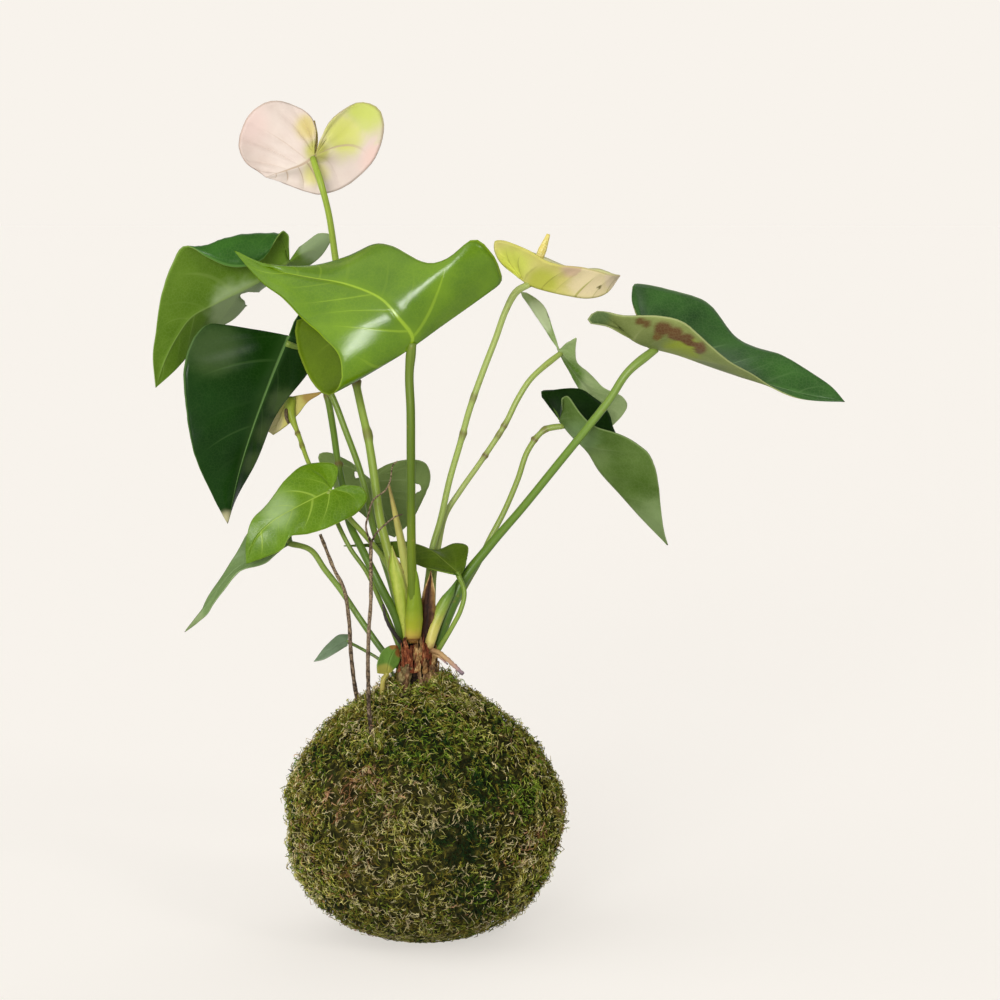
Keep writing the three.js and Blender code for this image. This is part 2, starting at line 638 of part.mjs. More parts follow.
// Small parts of the crown
const crownParts = {
  new_leaf_spear: {
    route: [
      [-4, -2, 120.5], [-4.5, -3, 130.5], [-6, -6, 149], [-8, -9, 164.5], [-10.5, -10, 177.5],
      [-12.5, -11, 187], [-14, -11, 194],
    ],
    radii: [2, 2.2, 1.8, 1.1, 0.4],
    colour: colours.spear,
  },
  dry_sheath: {
    route: [[0.5, -2, 120.5], [3, -3, 127], [3.5, -4, 136], [3, -4, 144.5], [3.5, -3, 156]],
    radii: [1.4, 2, 1.8, 1.3, 0.7],
    colour: colours.sheath,
  },
  aerial_root: {
    route: [[2, -6, 123.5], [6, -8, 123], [11.5, -10, 119], [17, -12, 114]],
    radii: [1.1, 1, 0.9],
    colour: colours.root,
  },
  dead_root: {
    route: [
      [-7, -5, 124], [-9, -8, 126.5], [-11, -11, 130], [-13.5, -13, 134], [-15.5, -14, 138.5],
      [-16.5, -14, 144],
    ],
    radii: [0.9, 0.9, 0.6],
    colour: colours.dead,
  },
};

// Adds the blade of a leaf or flower. Gives back its stem, and the room that stem and spadix leave for it.
function addBlade(name, leaf, thickness, roughness) {
  const sheet = { ripple: 0.8, ripples: 3, ...leaf };
  const detail = leaf.small ? smallDetail : fineDetail;
  const blade = bladeSolid(sheet, thickness, detail);
  addPiece(name, blade, finish(leaf.colour, roughness));
  const midrib = smoothCurve(leaf.midrib);
  const seat = midrib.getPointAt(Math.min(0.05, seatReach / midrib.getLength())).toArray();
  const sides = Math.max(...leaf.stemRadii) > 1.6 ? 8 : 6;
  const stemOf = (grow) => stalk([...leaf.stem, seat], leaf.stemRadii, sides, leaf.small ? 9 : 14, grow);
  return { room: bladeSolid(sheet, thickness, detail, gap).add(blade), stemOf };
}

function buildPlant() {
  const crownRoom = crownSolid(gap);
  let moss = ballSolid(0, lumpHeight).subtract(ballSolid(mossThickness, 0)).subtract(crownRoom);
  const soil = ballSolid(mossThickness + gap, 0).subtract(crownRoom);
  addPiece("soil_ball", largestBody(soil), finish(colours.soil, 0.95));
  addPiece("crown", crownSolid(0), finish(colours.crown, 0.9));

  for (const [name, leaf] of Object.entries(leaves)) {
    const { room, stemOf } = addBlade(`leaf_${name}_blade`, leaf, bladeThickness, 0.3);
    const stem = stemOf(0).subtract(room).subtract(crownRoom);
    addPiece(`leaf_${name}_stem`, largestBody(stem), finish(colours.stem, 0.45));
    if (leaf.inMoss) moss = moss.subtract(stemOf(gap));
  }
  for (const [name, flower] of Object.entries(flowers)) {
    const { room, stemOf } = addBlade(`flower_${name}_spathe`, flower, spatheThickness, 0.5);
    const stem = stemOf(0).subtract(room).subtract(crownRoom);
    addPiece(`flower_${name}_stem`, largestBody(stem), finish(colours.stem, 0.45));
    const spadix = stalk(flower.spadix, flower.spadixRadii, 10, 8).subtract(room);
    addPiece(`flower_${name}_spadix`, largestBody(spadix), finish(flower.spadixColour, 0.6));
  }
  for (const [name, { route, radii, colour }] of Object.entries(crownParts)) {
    addPiece(name, largestBody(stalk(route, radii, 8, 8).subtract(crownRoom)), finish(colour, 0.8));
  }

  for (const route of [leftTwig, frontTwig]) moss = moss.subtract(stalk(route, twigRadii, 6, 12, gap));
  addPiece("moss_cover", largestBody(moss), finish(colours.moss, 0.95));
  addPiece("twig_left", stalk(leftTwig, twigRadii, 6, 12), finish(colours.twig, 0.8));
  const tendrils = stalk(highTendril, tendrilRadii, 5, 12).add(stalk(lowTendril, tendrilRadii, 5, 8));
  addPiece("twig_front", stalk(frontTwig, twigRadii, 6, 12).add(tendrils), finish(colours.twig, 0.8));
}

buildPlant();

export default plant;
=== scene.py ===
import math
import bmesh
import bpy
import numpy as np
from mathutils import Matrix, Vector, noise


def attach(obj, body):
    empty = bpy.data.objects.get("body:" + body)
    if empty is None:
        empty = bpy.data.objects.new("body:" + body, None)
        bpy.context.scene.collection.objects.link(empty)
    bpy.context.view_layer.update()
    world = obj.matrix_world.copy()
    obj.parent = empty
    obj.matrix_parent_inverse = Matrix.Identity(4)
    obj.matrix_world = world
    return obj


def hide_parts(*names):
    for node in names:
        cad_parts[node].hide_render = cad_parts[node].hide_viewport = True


# A flamingo flower (Anthurium) that grows from a moss ball. Lengths in the dictionaries are in mm, the
# scene is in metres, and the origin is the middle of the flat spot under the ball.

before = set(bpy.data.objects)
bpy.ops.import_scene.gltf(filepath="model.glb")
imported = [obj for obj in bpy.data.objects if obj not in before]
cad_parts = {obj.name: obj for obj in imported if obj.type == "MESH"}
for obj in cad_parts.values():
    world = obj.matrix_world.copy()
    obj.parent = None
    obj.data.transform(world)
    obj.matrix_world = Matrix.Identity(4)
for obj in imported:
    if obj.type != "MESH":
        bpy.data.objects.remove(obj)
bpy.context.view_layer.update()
mm = 0.001
dice = np.random.default_rng(41)


def linearColour(hexCode):
    parts = [int(hexCode[i:i + 2], 16) / 255 for i in (1, 3, 5)]
    return [c / 12.92 if c <= 0.04045 else ((c + 0.055) / 1.055) ** 2.4 for c in parts] + [1.0]


# Adds a node with its settings and links, and gives back its first output. The inputs go by name, or by
# their order when they are a list.
def addNode(tree, kind, settings=None, inputs=None):
    made = tree.nodes.new("ShaderNode" + kind)
    for name, value in (settings or {}).items():
        setattr(made, name, value)
    for name, value in enumerate(inputs) if isinstance(inputs, list) else (inputs or {}).items():
        named = [socket for socket in made.inputs if socket.enabled and socket.name == name]
        socket = made.inputs[name] if isinstance(name, int) else named[0]
        if isinstance(value, bpy.types.NodeSocket):
            tree.links.new(value, socket)
        else:
            socket.default_value = value
    return [socket for socket in made.outputs if socket.enabled][0]


# Settings that many of the nodes share.
multiply = {"operation": "MULTIPLY"}
multiplyAdd = {"operation": "MULTIPLY_ADD"}
add = {"operation": "ADD"}
greater = {"operation": "MAXIMUM"}
smooth = {"interpolation_type": "SMOOTHSTEP"}
colourMix = {"data_type": "RGBA"}


# Colours a ramp with stops of a place and a colour.
def fillRamp(output, stops):
    ramp = output.node.color_ramp
    while len(ramp.elements) < len(stops):
        ramp.elements.new(0.5)
    for element, (place, hexCode) in zip(ramp.elements, stops):
        element.position = place
        element.color = linearColour(hexCode)


def startMaterial(name, finish):
    made = bpy.data.materials.new(name)
    made.use_nodes = True
    shader = made.node_tree.nodes["Principled BSDF"]
    for key, value in finish.items():
        shader.inputs[key].default_value = value
    return made, made.node_tree


# Gives a skin its colour and its bumps, whose depth is in metres.
def dressSkin(made, colour, height=None, strength=0.5, depth=0.0003, inverted=False):
    tree = made.node_tree
    shader = tree.nodes["Principled BSDF"]
    tree.links.new(colour, shader.inputs["Base Color"])
    if height:
        bump = addNode(tree, "Bump", {"invert": inverted},
                       {"Strength": strength, "Distance": depth, "Height": height})
        tree.links.new(bump, shader.inputs["Normal"])
    return made


# A crumbly skin: one noise picks its colours and lifts its bumps.
def crumbMaterial(name, finish, crumbs, stops, strength, depth):
    made, tree = startMaterial(name, finish)
    place = addNode(tree, "TexCoord").node.outputs["Object"]
    noiseOut = addNode(tree, "TexNoise", {}, {"Vector": place, **crumbs})
    ramp = addNode(tree, "ValToRGB", {}, {"Fac": noiseOut})
    fillRamp(ramp, stops)
    return dressSkin(made, ramp, noiseOut, strength, depth)


# A smooth curve through points, at places from 0 at the first to 1 at the last.
def curveAt(points, places):
    knots = np.array(points, float)
    knots = np.vstack([2 * knots[0] - knots[1], knots, 2 * knots[-1] - knots[-2]])
    spot = np.clip(places, 0, 1) * (len(points) - 1)
    first = np.minimum(spot.astype(int), len(points) - 2)
    part = (spot - first)[:, None]
    a, b, c, d = (knots[first + k] for k in range(4))
    spans = [np.sqrt(np.linalg.norm(q - p, axis=1))[:, None] + 1e-9 for p, q in ((a, b), (b, c), (c, d))]
    start = ((b - a) / spans[0] - (c - a) / (spans[0] + spans[1]) + (c - b) / spans[1]) * spans[1]
    end = ((c - b) / spans[1] - (d - b) / (spans[1] + spans[2]) + (d - c) / spans[2]) * spans[1]
    bend, twist = 3 * (c - b) - 2 * start - end, 2 * (b - c) + start + end
    return b + start * part + bend * part ** 2 + twist * part ** 3


# The curve's places that lie at shares of its length, and its length.
def placesAt(points, shares):
    places = np.linspace(0, 1, 400)
    steps = np.linalg.norm(np.diff(curveAt(points, places), axis=0), axis=1)
    reached = np.concatenate([[0], np.cumsum(steps)])
    return np.interp(np.asarray(shares) * reached[-1], reached, places), reached[-1]


def unit(vectors):
    return vectors / np.maximum(np.linalg.norm(vectors, axis=-1, keepdims=True), 1e-12)


# A grid whose corner in row i and column j is put at grid[i, j]. Its UV map runs from 0 to 1 both ways.
def gridMesh(grid, mapName, closed=False):
    rows, columns = grid.shape[0] - 1, grid.shape[1] - 1
    bm = bmesh.new()
    bm.loops.layers.uv.new(mapName)
    bmesh.ops.create_grid(bm, x_segments=columns, y_segments=rows, size=0.5, calc_uvs=True)
    for corner in bm.verts:
        row = round((corner.co.y + 0.5) * rows)
        column = round((corner.co.x + 0.5) * columns)
        corner.co = grid[row, column] * mm
    bmesh.ops.remove_doubles(bm, verts=bm.verts, dist=2e-6)
    if closed:
        bmesh.ops.holes_fill(bm, edges=bm.edges, sides=0)
    for face in bm.faces:
        face.smooth = True
    return bm


def joinGrids(grids, mapName, closed=False):
    whole = bmesh.new()
    for grid in grids:
        bm = gridMesh(grid, mapName, closed)
        part = bpy.data.meshes.new("part")
        bm.to_mesh(part)
        bm.free()
        whole.from_mesh(part)
        bpy.data.meshes.remove(part)
    return whole


def placePiece(name, mesh, materials, replaced=()):
    piece = bpy.data.objects.new(name, mesh)
    bpy.context.scene.collection.objects.link(piece)
    for material in materials:
        mesh.materials.append(material)
    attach(piece, "root")
    if replaced:
        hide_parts(*replaced)
    return piece


def finishPiece(name, bm, materials, replaced=()):
    mesh = bpy.data.meshes.new(name)
    bm.to_mesh(mesh)
    bm.free()
    return placePiece(name, mesh, materials, replaced)


# Gives a sheet its thickness in mm. Its back and rim take the material that stands so many further on.
def addWall(piece, thickness, materialStep=0):
    wall = piece.modifiers.new("thickness", "SOLIDIFY")
    wall.thickness = thickness * mm
    wall.offset = 0
    wall.material_offset = materialStep
    wall.material_offset_rim = materialStep


# Round sections along a route, as a grid of rows along it and columns round it.
def tubeGrid(route, radii, sides, steps, shape=None):
    shares = np.linspace(0, 1, steps + 1)
    places, _ = placesAt(route, shares)
    centres = curveAt(route, places)
    ways = unit(curveAt(route, places + 1e-3) - curveAt(route, places - 1e-3))
    across = unit(np.cross(ways[0], [0.3, 1.0, 0.2]))
    turns = np.linspace(0, 2 * np.pi, sides + 1)
    radius = np.interp(shares, np.linspace(0, 1, len(radii)), radii)
    grid = np.zeros((steps + 1, sides + 1, 3))
    for i in range(steps + 1):
        across = unit(across - ways[i] * (across @ ways[i]))
        beside = np.cross(ways[i], across)
        reach = radius[i] * (shape(shares[i], turns) if shape else 1.0) * np.ones(sides + 1)
        ring = np.cos(turns)[:, None] * across + np.sin(turns)[:, None] * beside
        grid[i] = centres[i] + reach[:, None] * ring
    return grid


# How finely blades are made, in mm where it is a length.
blade = {
    "basalRows": 24, "ribRows": 50, "columns": 17,  # basal rows spread from the stalk's end
    "thickness": 0.5, "spatheThickness": 0.7,
    "ripple": 0.8, "ripples": 3, "ragged": 0.008,
    "veins": 11, "veinBend": 0.1, "veinShift": 0.012, "veinDrift": 0.016, "veinTurns": 21,
    "quilt": 0.28, "quiltStart": 12,  # the cushions' height, and how far from the midrib they are full
    "groove": 0.35, "grooveWidth": 0.05, "grooveEnd": 6,  # over the midrib
    "reliefEnds": 12,  # the relief fades out over one in so many of the blade's length, at both ends
}


# Where the margin of one half passes the stalk, as a share of the margin's length.
def sharePastStalk(edge, midrib):
    places, length = placesAt(midrib, [0, 0.3])
    stalkEnd, ahead = curveAt(midrib, places)
    forward = unit(ahead - stalkEnd)
    tries = np.arange(0.1, 0.655, 0.01)
    reached = (curveAt(edge, placesAt(edge, tries)[0]) - stalkEnd) @ forward
    before = np.nonzero(reached < length * 0.1)[0]
    return tries[before[-1]] if len(before) else 0.1


# One half of a blade: rows of points that run as its side veins do, from the midrib to the margin.
def halfBlade(leaf, margin, side, seed):
    midrib = leaf["midrib"]
    edge = [point[:3] for point in margin] + [midrib[-1]]
    bows, rises = ([(point + (0, 0))[k] for point in margin] + [0] for k in (3, 4))
    past = sharePastStalk(edge, midrib)
    basal, ribs, columns = blade["basalRows"], blade["ribRows"], blade["columns"]
    row = np.arange(basal + ribs + 1)
    along = np.clip((row - basal) / ribs, 0, 1)
    share = np.where(row < basal, past * row / basal, past + (1 - past) * along ** 0.87)
    foot = curveAt(midrib, placesAt(midrib, along)[0])
    places = placesAt(edge, share)[0]
    end = curveAt(edge, places)
    tangent = unit(curveAt(edge, places + 1e-4) - curveAt(edge, places - 1e-4))
    ray = end - foot
    upward = unit(np.cross(tangent, ray) * side)
    spread = np.linspace(0, 1, len(edge))
    bow = np.interp(places, spread, bows)
    rise = np.interp(places, spread, rises)
    out = np.linspace(0, 1, columns + 1)
    arch = 4 * out * (1 - out)
    wave = leaf.get("ripple", blade["ripple"]) * np.sin(share * blade["ripples"] * 2 * np.pi)
    ragged = np.array([1 + blade["ragged"] * noise.noise(Vector((s * 30, seed, side))) for s in share])
    ragged[0] = ragged[-1] = 1
    grid = foot[:, None] + ray[:, None] * (out * ragged[:, None])[:, :, None]
    grid += upward[:, None] * (bow[:, None] * arch + wave[:, None] * out ** 2)[:, :, None]
    grid[:, :, 2] += rise[:, None] * arch
    return grid


# The whole blade as one grid, from the left margin over the midrib to the right margin, with soft cushions
# between its veins. A roll bends the blade at x and z: its reach, lean, depth and width follow.
def bladeGrid(leaf, seed):
    left = halfBlade(leaf, leaf["left"], 1, seed)
    right = halfBlade(leaf, leaf["right"], -1, seed)
    grid = np.concatenate([left[:, ::-1], right[:, 1:]], axis=1)
    rows, columns = grid.shape[:2]
    signed = np.linspace(-1, 1, columns)[None, :]
    across = np.abs(signed)
    along = np.linspace(0, 1, rows)[:, None]
    normal = unit(np.cross(np.gradient(grid, axis=1), np.gradient(grid, axis=0)))
    level = along - blade["veinBend"] * across ** 1.5 + blade["veinShift"] * np.sign(signed)
    level = level + blade["veinDrift"] * np.sin(blade["veinTurns"] * level + seed)
    cushion = np.abs(np.sin(np.pi * level * leaf.get("veins", blade["veins"]))) ** 0.7 - 0.6
    room = np.minimum(1, np.linalg.norm(grid - grid[:, [columns // 2]], axis=2) / blade["quiltStart"])
    lift = leaf.get("quilt", blade["quilt"]) * cushion * room * (1 - across ** 6)
    groove = blade["groove"] * np.exp(-(across / blade["grooveWidth"]) ** 2)
    groove = groove * np.minimum(1, (1 - along) * blade["grooveEnd"])
    fade = np.minimum(1, along * blade["reliefEnds"]) * np.minimum(1, (1 - along) * blade["reliefEnds"])
    grid = grid + normal * ((lift - groove) * fade)[:, :, None]
    for x, z, reach, lean, depth, width in leaf.get("rolls", []):
        aside, rise = grid[:, :, 0] - x, grid[:, :, 2] - z
        near = np.exp(-(aside ** 2 + rise ** 2) / reach ** 2)
        grid[:, :, 1] += depth * np.tanh((rise + lean * aside) / width) * near
    return grid


# Living leaf: thin and waxy, so it shines softly. Light veins are pressed into the upper side and stand out
# below. Some side veins show clearly and others hardly at all.
def leafMaterial(name, leaf, skin, finish, tint, veinSide, seed):
    dark, light, veinGreen = leaf[skin]
    sideShow, ribShow, netShow = leaf["show"]
    made, tree = startMaterial(name, {
        "Roughness": finish["roughness"], "Specular IOR Level": finish["shine"], "IOR": 1.45,
    })
    flat = addNode(tree, "SeparateXYZ", {}, [addNode(tree, "UVMap", {"uv_map": "bladeMap"})]).node
    place = addNode(tree, "TexCoord").node.outputs["Object"]
    signed = addNode(tree, "Math", multiplyAdd, [flat.outputs["X"], 2.0, -1.0])
    across = addNode(tree, "Math", {"operation": "ABSOLUTE"}, [signed])
    side = addNode(tree, "Math", {"operation": "SIGN"}, [signed])

    # The side veins lie where this level, which bends and drifts along the blade, reaches whole steps.
    bent = addNode(tree, "Math", {"operation": "POWER"}, [across, 1.5])
    level = addNode(tree, "Math", multiplyAdd, [bent, -blade["veinBend"], flat.outputs["Y"]])
    level = addNode(tree, "Math", multiplyAdd, [side, blade["veinShift"], level])
    turns = addNode(tree, "Math", multiplyAdd, [level, blade["veinTurns"], seed])
    drift = addNode(tree, "Math", {"operation": "SINE"}, [turns])
    level = addNode(tree, "Math", multiplyAdd, [drift, blade["veinDrift"], level])
    phase = addNode(tree, "Math", multiply, [level, leaf.get("veins", blade["veins"])])
    fromVein = addNode(tree, "Math", {"operation": "PINGPONG"}, [phase, 0.5])
    number = addNode(tree, "Math", {"operation": "FLOOR"}, [addNode(tree, "Math", add, [phase, 0.5])])
    number = addNode(tree, "Math", add, [number, seed * 3.1])
    number = addNode(tree, "Math", multiplyAdd, [side, 7.3, number])
    chance = addNode(tree, "TexWhiteNoise", {"noise_dimensions": "1D"}, {"W": number}).node.outputs["Value"]
    clear = addNode(tree, "MapRange", smooth, [chance, 0.15, 0.9, sideShow * 0.25, sideShow])
    thin = addNode(tree, "MapRange", smooth, [across, 0.0, 0.9, 0.085, 0.035])
    nearness = addNode(tree, "Math", {"operation": "DIVIDE"}, [fromVein, thin])
    vein = addNode(tree, "MapRange", smooth, [nearness, 0.25, 1.0, 1.0, 0.0])
    vein = addNode(tree, "Math", multiply, [vein, clear])
    inwards = addNode(tree, "MapRange", smooth, [across, 0.45, 0.9, 1.0, 0.1])
    vein = addNode(tree, "Math", multiply, [vein, inwards])
    midrib = addNode(tree, "MapRange", smooth, [across, 0.01, 0.035, ribShow, 0.0])
    rim = addNode(tree, "MapRange", smooth, [across, 0.975, 0.99, 0.0, 0.45])
    lines = addNode(tree, "Math", greater, [addNode(tree, "Math", greater, [vein, midrib]), rim])

    # The green is lighter beside the veins and cloudy between them.
    halo = addNode(tree, "MapRange", smooth, [fromVein, 0.0, 0.38, 0.25, 0.0])
    halo = addNode(tree, "Math", multiply, [halo, clear])
    ribHalo = addNode(tree, "MapRange", smooth, [across, 0.0, 0.2, ribShow * 0.3, 0.0])
    glow = addNode(tree, "Math", add, [halo, ribHalo])
    cloud = addNode(tree, "TexNoise", {}, {"Vector": place, "Scale": 45.0, "Detail": 4.0, "Roughness": 0.6})
    tone = addNode(tree, "Math", multiplyAdd, [glow, 0.5, cloud])
    green = addNode(tree, "ValToRGB", {}, {"Fac": tone})
    fillRamp(green, [(0.3, dark), (0.75, light)])

    # The small net between the veins has meshes of 1.5 mm.
    net = addNode(tree, "TexVoronoi", {"feature": "DISTANCE_TO_EDGE"}, {"Vector": place, "Scale": 660.0})
    net = addNode(tree, "MapRange", smooth, [net, 0.0, 0.12, 0.22 * netShow, 0.0])
    lines = addNode(tree, "Math", greater, [lines, net])
    lines = addNode(tree, "Math", greater, [lines, addNode(tree, "Math", multiply, [glow, 0.35])])

    # Patches of another colour are painted on the corners, and small noise makes their edges ragged. Most are
    # the leaf's own colour, and a few paint sheen and the grey look of shade.
    paint = addNode(tree, "Attribute", {"attribute_name": tint}).node
    grain = addNode(tree, "TexNoise", {}, {"Vector": place, "Scale": 180.0, "Detail": 3.0})
    ragged = addNode(tree, "Math", multiplyAdd, [grain, 0.5, -0.25])
    reach = addNode(tree, "Math", add, [ragged, paint.outputs["Alpha"]])
    patch = addNode(tree, "MapRange", smooth, [reach, *leaf.get("patchEdge", (0.2, 0.7)), 0.0, 0.9])
    patched = addNode(tree, "Mix", colourMix, {"Factor": patch, "A": green, "B": paint.outputs["Color"]})
    colour = addNode(tree, "Mix", colourMix, {"Factor": lines, "A": patched, "B": linearColour(veinGreen)})

    fine = addNode(tree, "TexNoise", {}, {"Vector": place, "Scale": 1400.0, "Detail": 2.0})
    relief = addNode(tree, "Math", multiply, [lines, veinSide])
    relief = addNode(tree, "Math", multiplyAdd, [fine, 0.14, relief])
    relief = addNode(tree, "Math", multiplyAdd, [cloud, 1.2, relief])
    return dressSkin(made, colour, relief)


# Young and old stalk: smooth, juicy and slightly glossy, with fine streaks along it and brown rings of old
# leaf scars. Its colour is painted on the corners.
def stalkMaterial():
    made, tree = startMaterial("petioleSkin", {
        "Roughness": 0.36, "Specular IOR Level": 0.35, "IOR": 1.45,
        "Subsurface Weight": 0.12, "Subsurface Radius": (0.8, 1.0, 0.15), "Subsurface Scale": 0.0015,
    })
    paint = addNode(tree, "Attribute", {"attribute_name": "skinTint"}).node.outputs["Color"]
    unrolled = addNode(tree, "Mapping", {}, {"Vector": addNode(tree, "UVMap", {"uv_map": "stalkMap"}),
                                             "Scale": (14.0, 3.0, 1.0)})
    streaks = addNode(tree, "TexNoise", {}, {"Vector": unrolled, "Scale": 1.0, "Detail": 3.0})
    share = addNode(tree, "MapRange", {}, [streaks, 0.35, 0.7, 0.0, 0.35])
    deep = addNode(tree, "Mix", {"data_type": "RGBA", "blend_type": "MULTIPLY"},
                   {"Factor": share, "A": paint, "B": linearColour("#9db070")})
    place = addNode(tree, "TexCoord").node.outputs["Object"]
    specks = addNode(tree, "TexNoise", {}, {"Vector": place, "Scale": 420.0, "Detail": 3.0})
    dots = addNode(tree, "MapRange", {}, [specks, 0.66, 0.74, 0.0, 0.5])
    colour = addNode(tree, "Mix", colourMix, {"Factor": dots, "A": deep, "B": linearColour("#8a7a3c")})
    return dressSkin(made, colour, streaks, 0.35)


# Spadix: hundreds of tiny flowers packed into a spike, so its skin is a net of small rounded knobs of 1 mm.
def spadixMaterial(name, colours):
    made, tree = startMaterial(name, {
        "Roughness": 0.55, "Subsurface Weight": 0.1, "Subsurface Radius": (1.0, 0.7, 0.3),
        "Subsurface Scale": 0.001,
    })
    place = addNode(tree, "TexCoord").node.outputs["Object"]
    knobs = addNode(tree, "TexVoronoi", {}, {"Vector": place, "Scale": 1000.0})
    # The crevices between the knobs take the dark colour and the knob tops the light one: painted shade
    # between them.
    ramp = addNode(tree, "ValToRGB", {}, {"Fac": knobs})
    fillRamp(ramp, [(0.1, colours[1]), (0.6, colours[0])])
    return dressSkin(made, ramp, knobs, 0.7, 0.0004, inverted=True)


# Writes the colour patches of one side on the corners: the leaf's own colours, and a few painted sheens and
# shades.
# Each patch is x, z, reach and colour.
def paintPatches(bm, layerName, patches):
    layer = bm.verts.layers.float_color.new(layerName)
    colours = [np.array(linearColour(patch[3])) for patch in patches]
    for corner in bm.verts:
        x, z = corner.co.x / mm, corner.co.z / mm
        mixed, share = np.array([0.2, 0.2, 0.1, 0.0]), 0.0
        for patch, colour in zip(patches, colours):
            near = math.exp(-(((x - patch[0]) ** 2 + (z - patch[1]) ** 2) / patch[2] ** 2) ** 1.5)
            if near > share:
                mixed, share = colour, near
        corner[layer] = (mixed[0], mixed[1], mixed[2], share)


# Cuts round holes in a blade: each is x, z and radius. Corners inside move out to the hole's edge.
def cutHoles(bm, holes):
    for x, z, radius in holes:
        inside = set()
        for corner in bm.verts:
            offset = np.array([corner.co.x / mm - x, corner.co.z / mm - z])
            away = np.linalg.norm(offset)
            turn = math.atan2(offset[1], offset[0])
            reach = radius * (1 + 0.18 * math.sin(3 * turn + x) + 0.12 * math.sin(5 * turn + z))
            if away < reach:
                inside.add(corner)
                corner.co.x = (x + offset[0] / max(away, 1e-6) * reach) * mm
                corner.co.z = (z + offset[1] / max(away, 1e-6) * reach) * mm
        gone = [face for face in bm.faces if all(corner in inside for corner in face.verts)]
        bmesh.ops.delete(bm, geom=gone, context="FACES")


def addBlade(name, leaf, thickness, seed):
    bm = gridMesh(bladeGrid(leaf, seed), "bladeMap")
    cutHoles(bm, leaf.get("holes", []))
    paintPatches(bm, "upperTintAndSheen", leaf.get("upperPatches", []))
    paintPatches(bm, "lowerTintAndShade", leaf.get("underPatches", []))
    matt = {"roughness": min(0.6, leaf["roughness"] + 0.15), "shine": leaf["shine"] * 0.35}
    upper = leafMaterial(f"{name}_upperSkin", leaf, "upper", leaf, "upperTintAndSheen", -1.0, seed)
    under = leafMaterial(f"{name}_lowerSkin", leaf, "under", matt, "lowerTintAndShade", 1.0, seed)
    addWall(finishPiece(name, bm, [upper, under], [name]), thickness, 1)


# Swellings are shares of the stalk's radius. Their places and widths are shares of its length.
stalk = {
    "sides": 14, "steps": 90, "flatness": 0.05,
    "leafSeat": 0.04, "flowerSeat": 0.05,  # where its end sits, as a share of the midrib
    "scarSwell": 0.42, "scarWidth": 0.007, "scarBrown": "#6a5230", "scarShare": 0.9,
    "jointSwell": 0.14, "joint": 0.955, "jointWidth": 0.03,
}


# A stalk that ends on the midrib, a share of the midrib's length from its foot.
def addStalk(name, leaf, seatShare, skin):
    seat = curveAt(leaf["midrib"], placesAt(leaf["midrib"], [seatShare])[0])[0]
    route = leaf["stem"] + [tuple(seat)]
    shares = np.linspace(0, 1, 60)
    heights = curveAt(route, placesAt(route, shares)[0])[:, 2]
    scars = [float(np.interp(height, heights, shares)) for height in leaf.get("scars", [])]

    def nearScar(share, scar):
        return np.exp(-((share - scar) / stalk["scarWidth"]) ** 2)

    def shape(share, turns):
        swell = stalk["scarSwell"] * sum(nearScar(share, scar) for scar in scars)
        joint = stalk["jointSwell"] * np.exp(-((share - stalk["joint"]) / stalk["jointWidth"]) ** 2)
        flat = stalk["flatness"] * np.sin(2 * turns + 3)
        oneSided = 0.4 + 1.1 * np.maximum(0, np.sin(turns + 9 * share)) ** 2
        return 1 + swell * oneSided + joint + flat

    grid = tubeGrid(route, leaf["stemRadii"], stalk["sides"], stalk["steps"], shape)
    bm = gridMesh(grid, "stalkMap", closed=True)
    layer = bm.verts.layers.float_color.new("skinTint")
    stops = np.array([linearColour(hexCode) for hexCode in leaf["stalk"]])
    brown = np.array(linearColour(stalk["scarBrown"]))
    centres = grid[:, :-1].mean(axis=1)
    for corner in bm.verts:
        away = np.linalg.norm(centres - np.array(corner.co) / mm, axis=1)
        share = int(away.argmin()) / stalk["steps"]
        colour = np.array([np.interp(share, np.linspace(0, 1, len(stops)), stops[:, k]) for k in range(4)])
        for scar in scars:
            colour = colour + (brown - colour) * nearScar(share, scar) * stalk["scarShare"]
        corner[layer] = colour
    finishPiece(name, bm, [skin], [name])


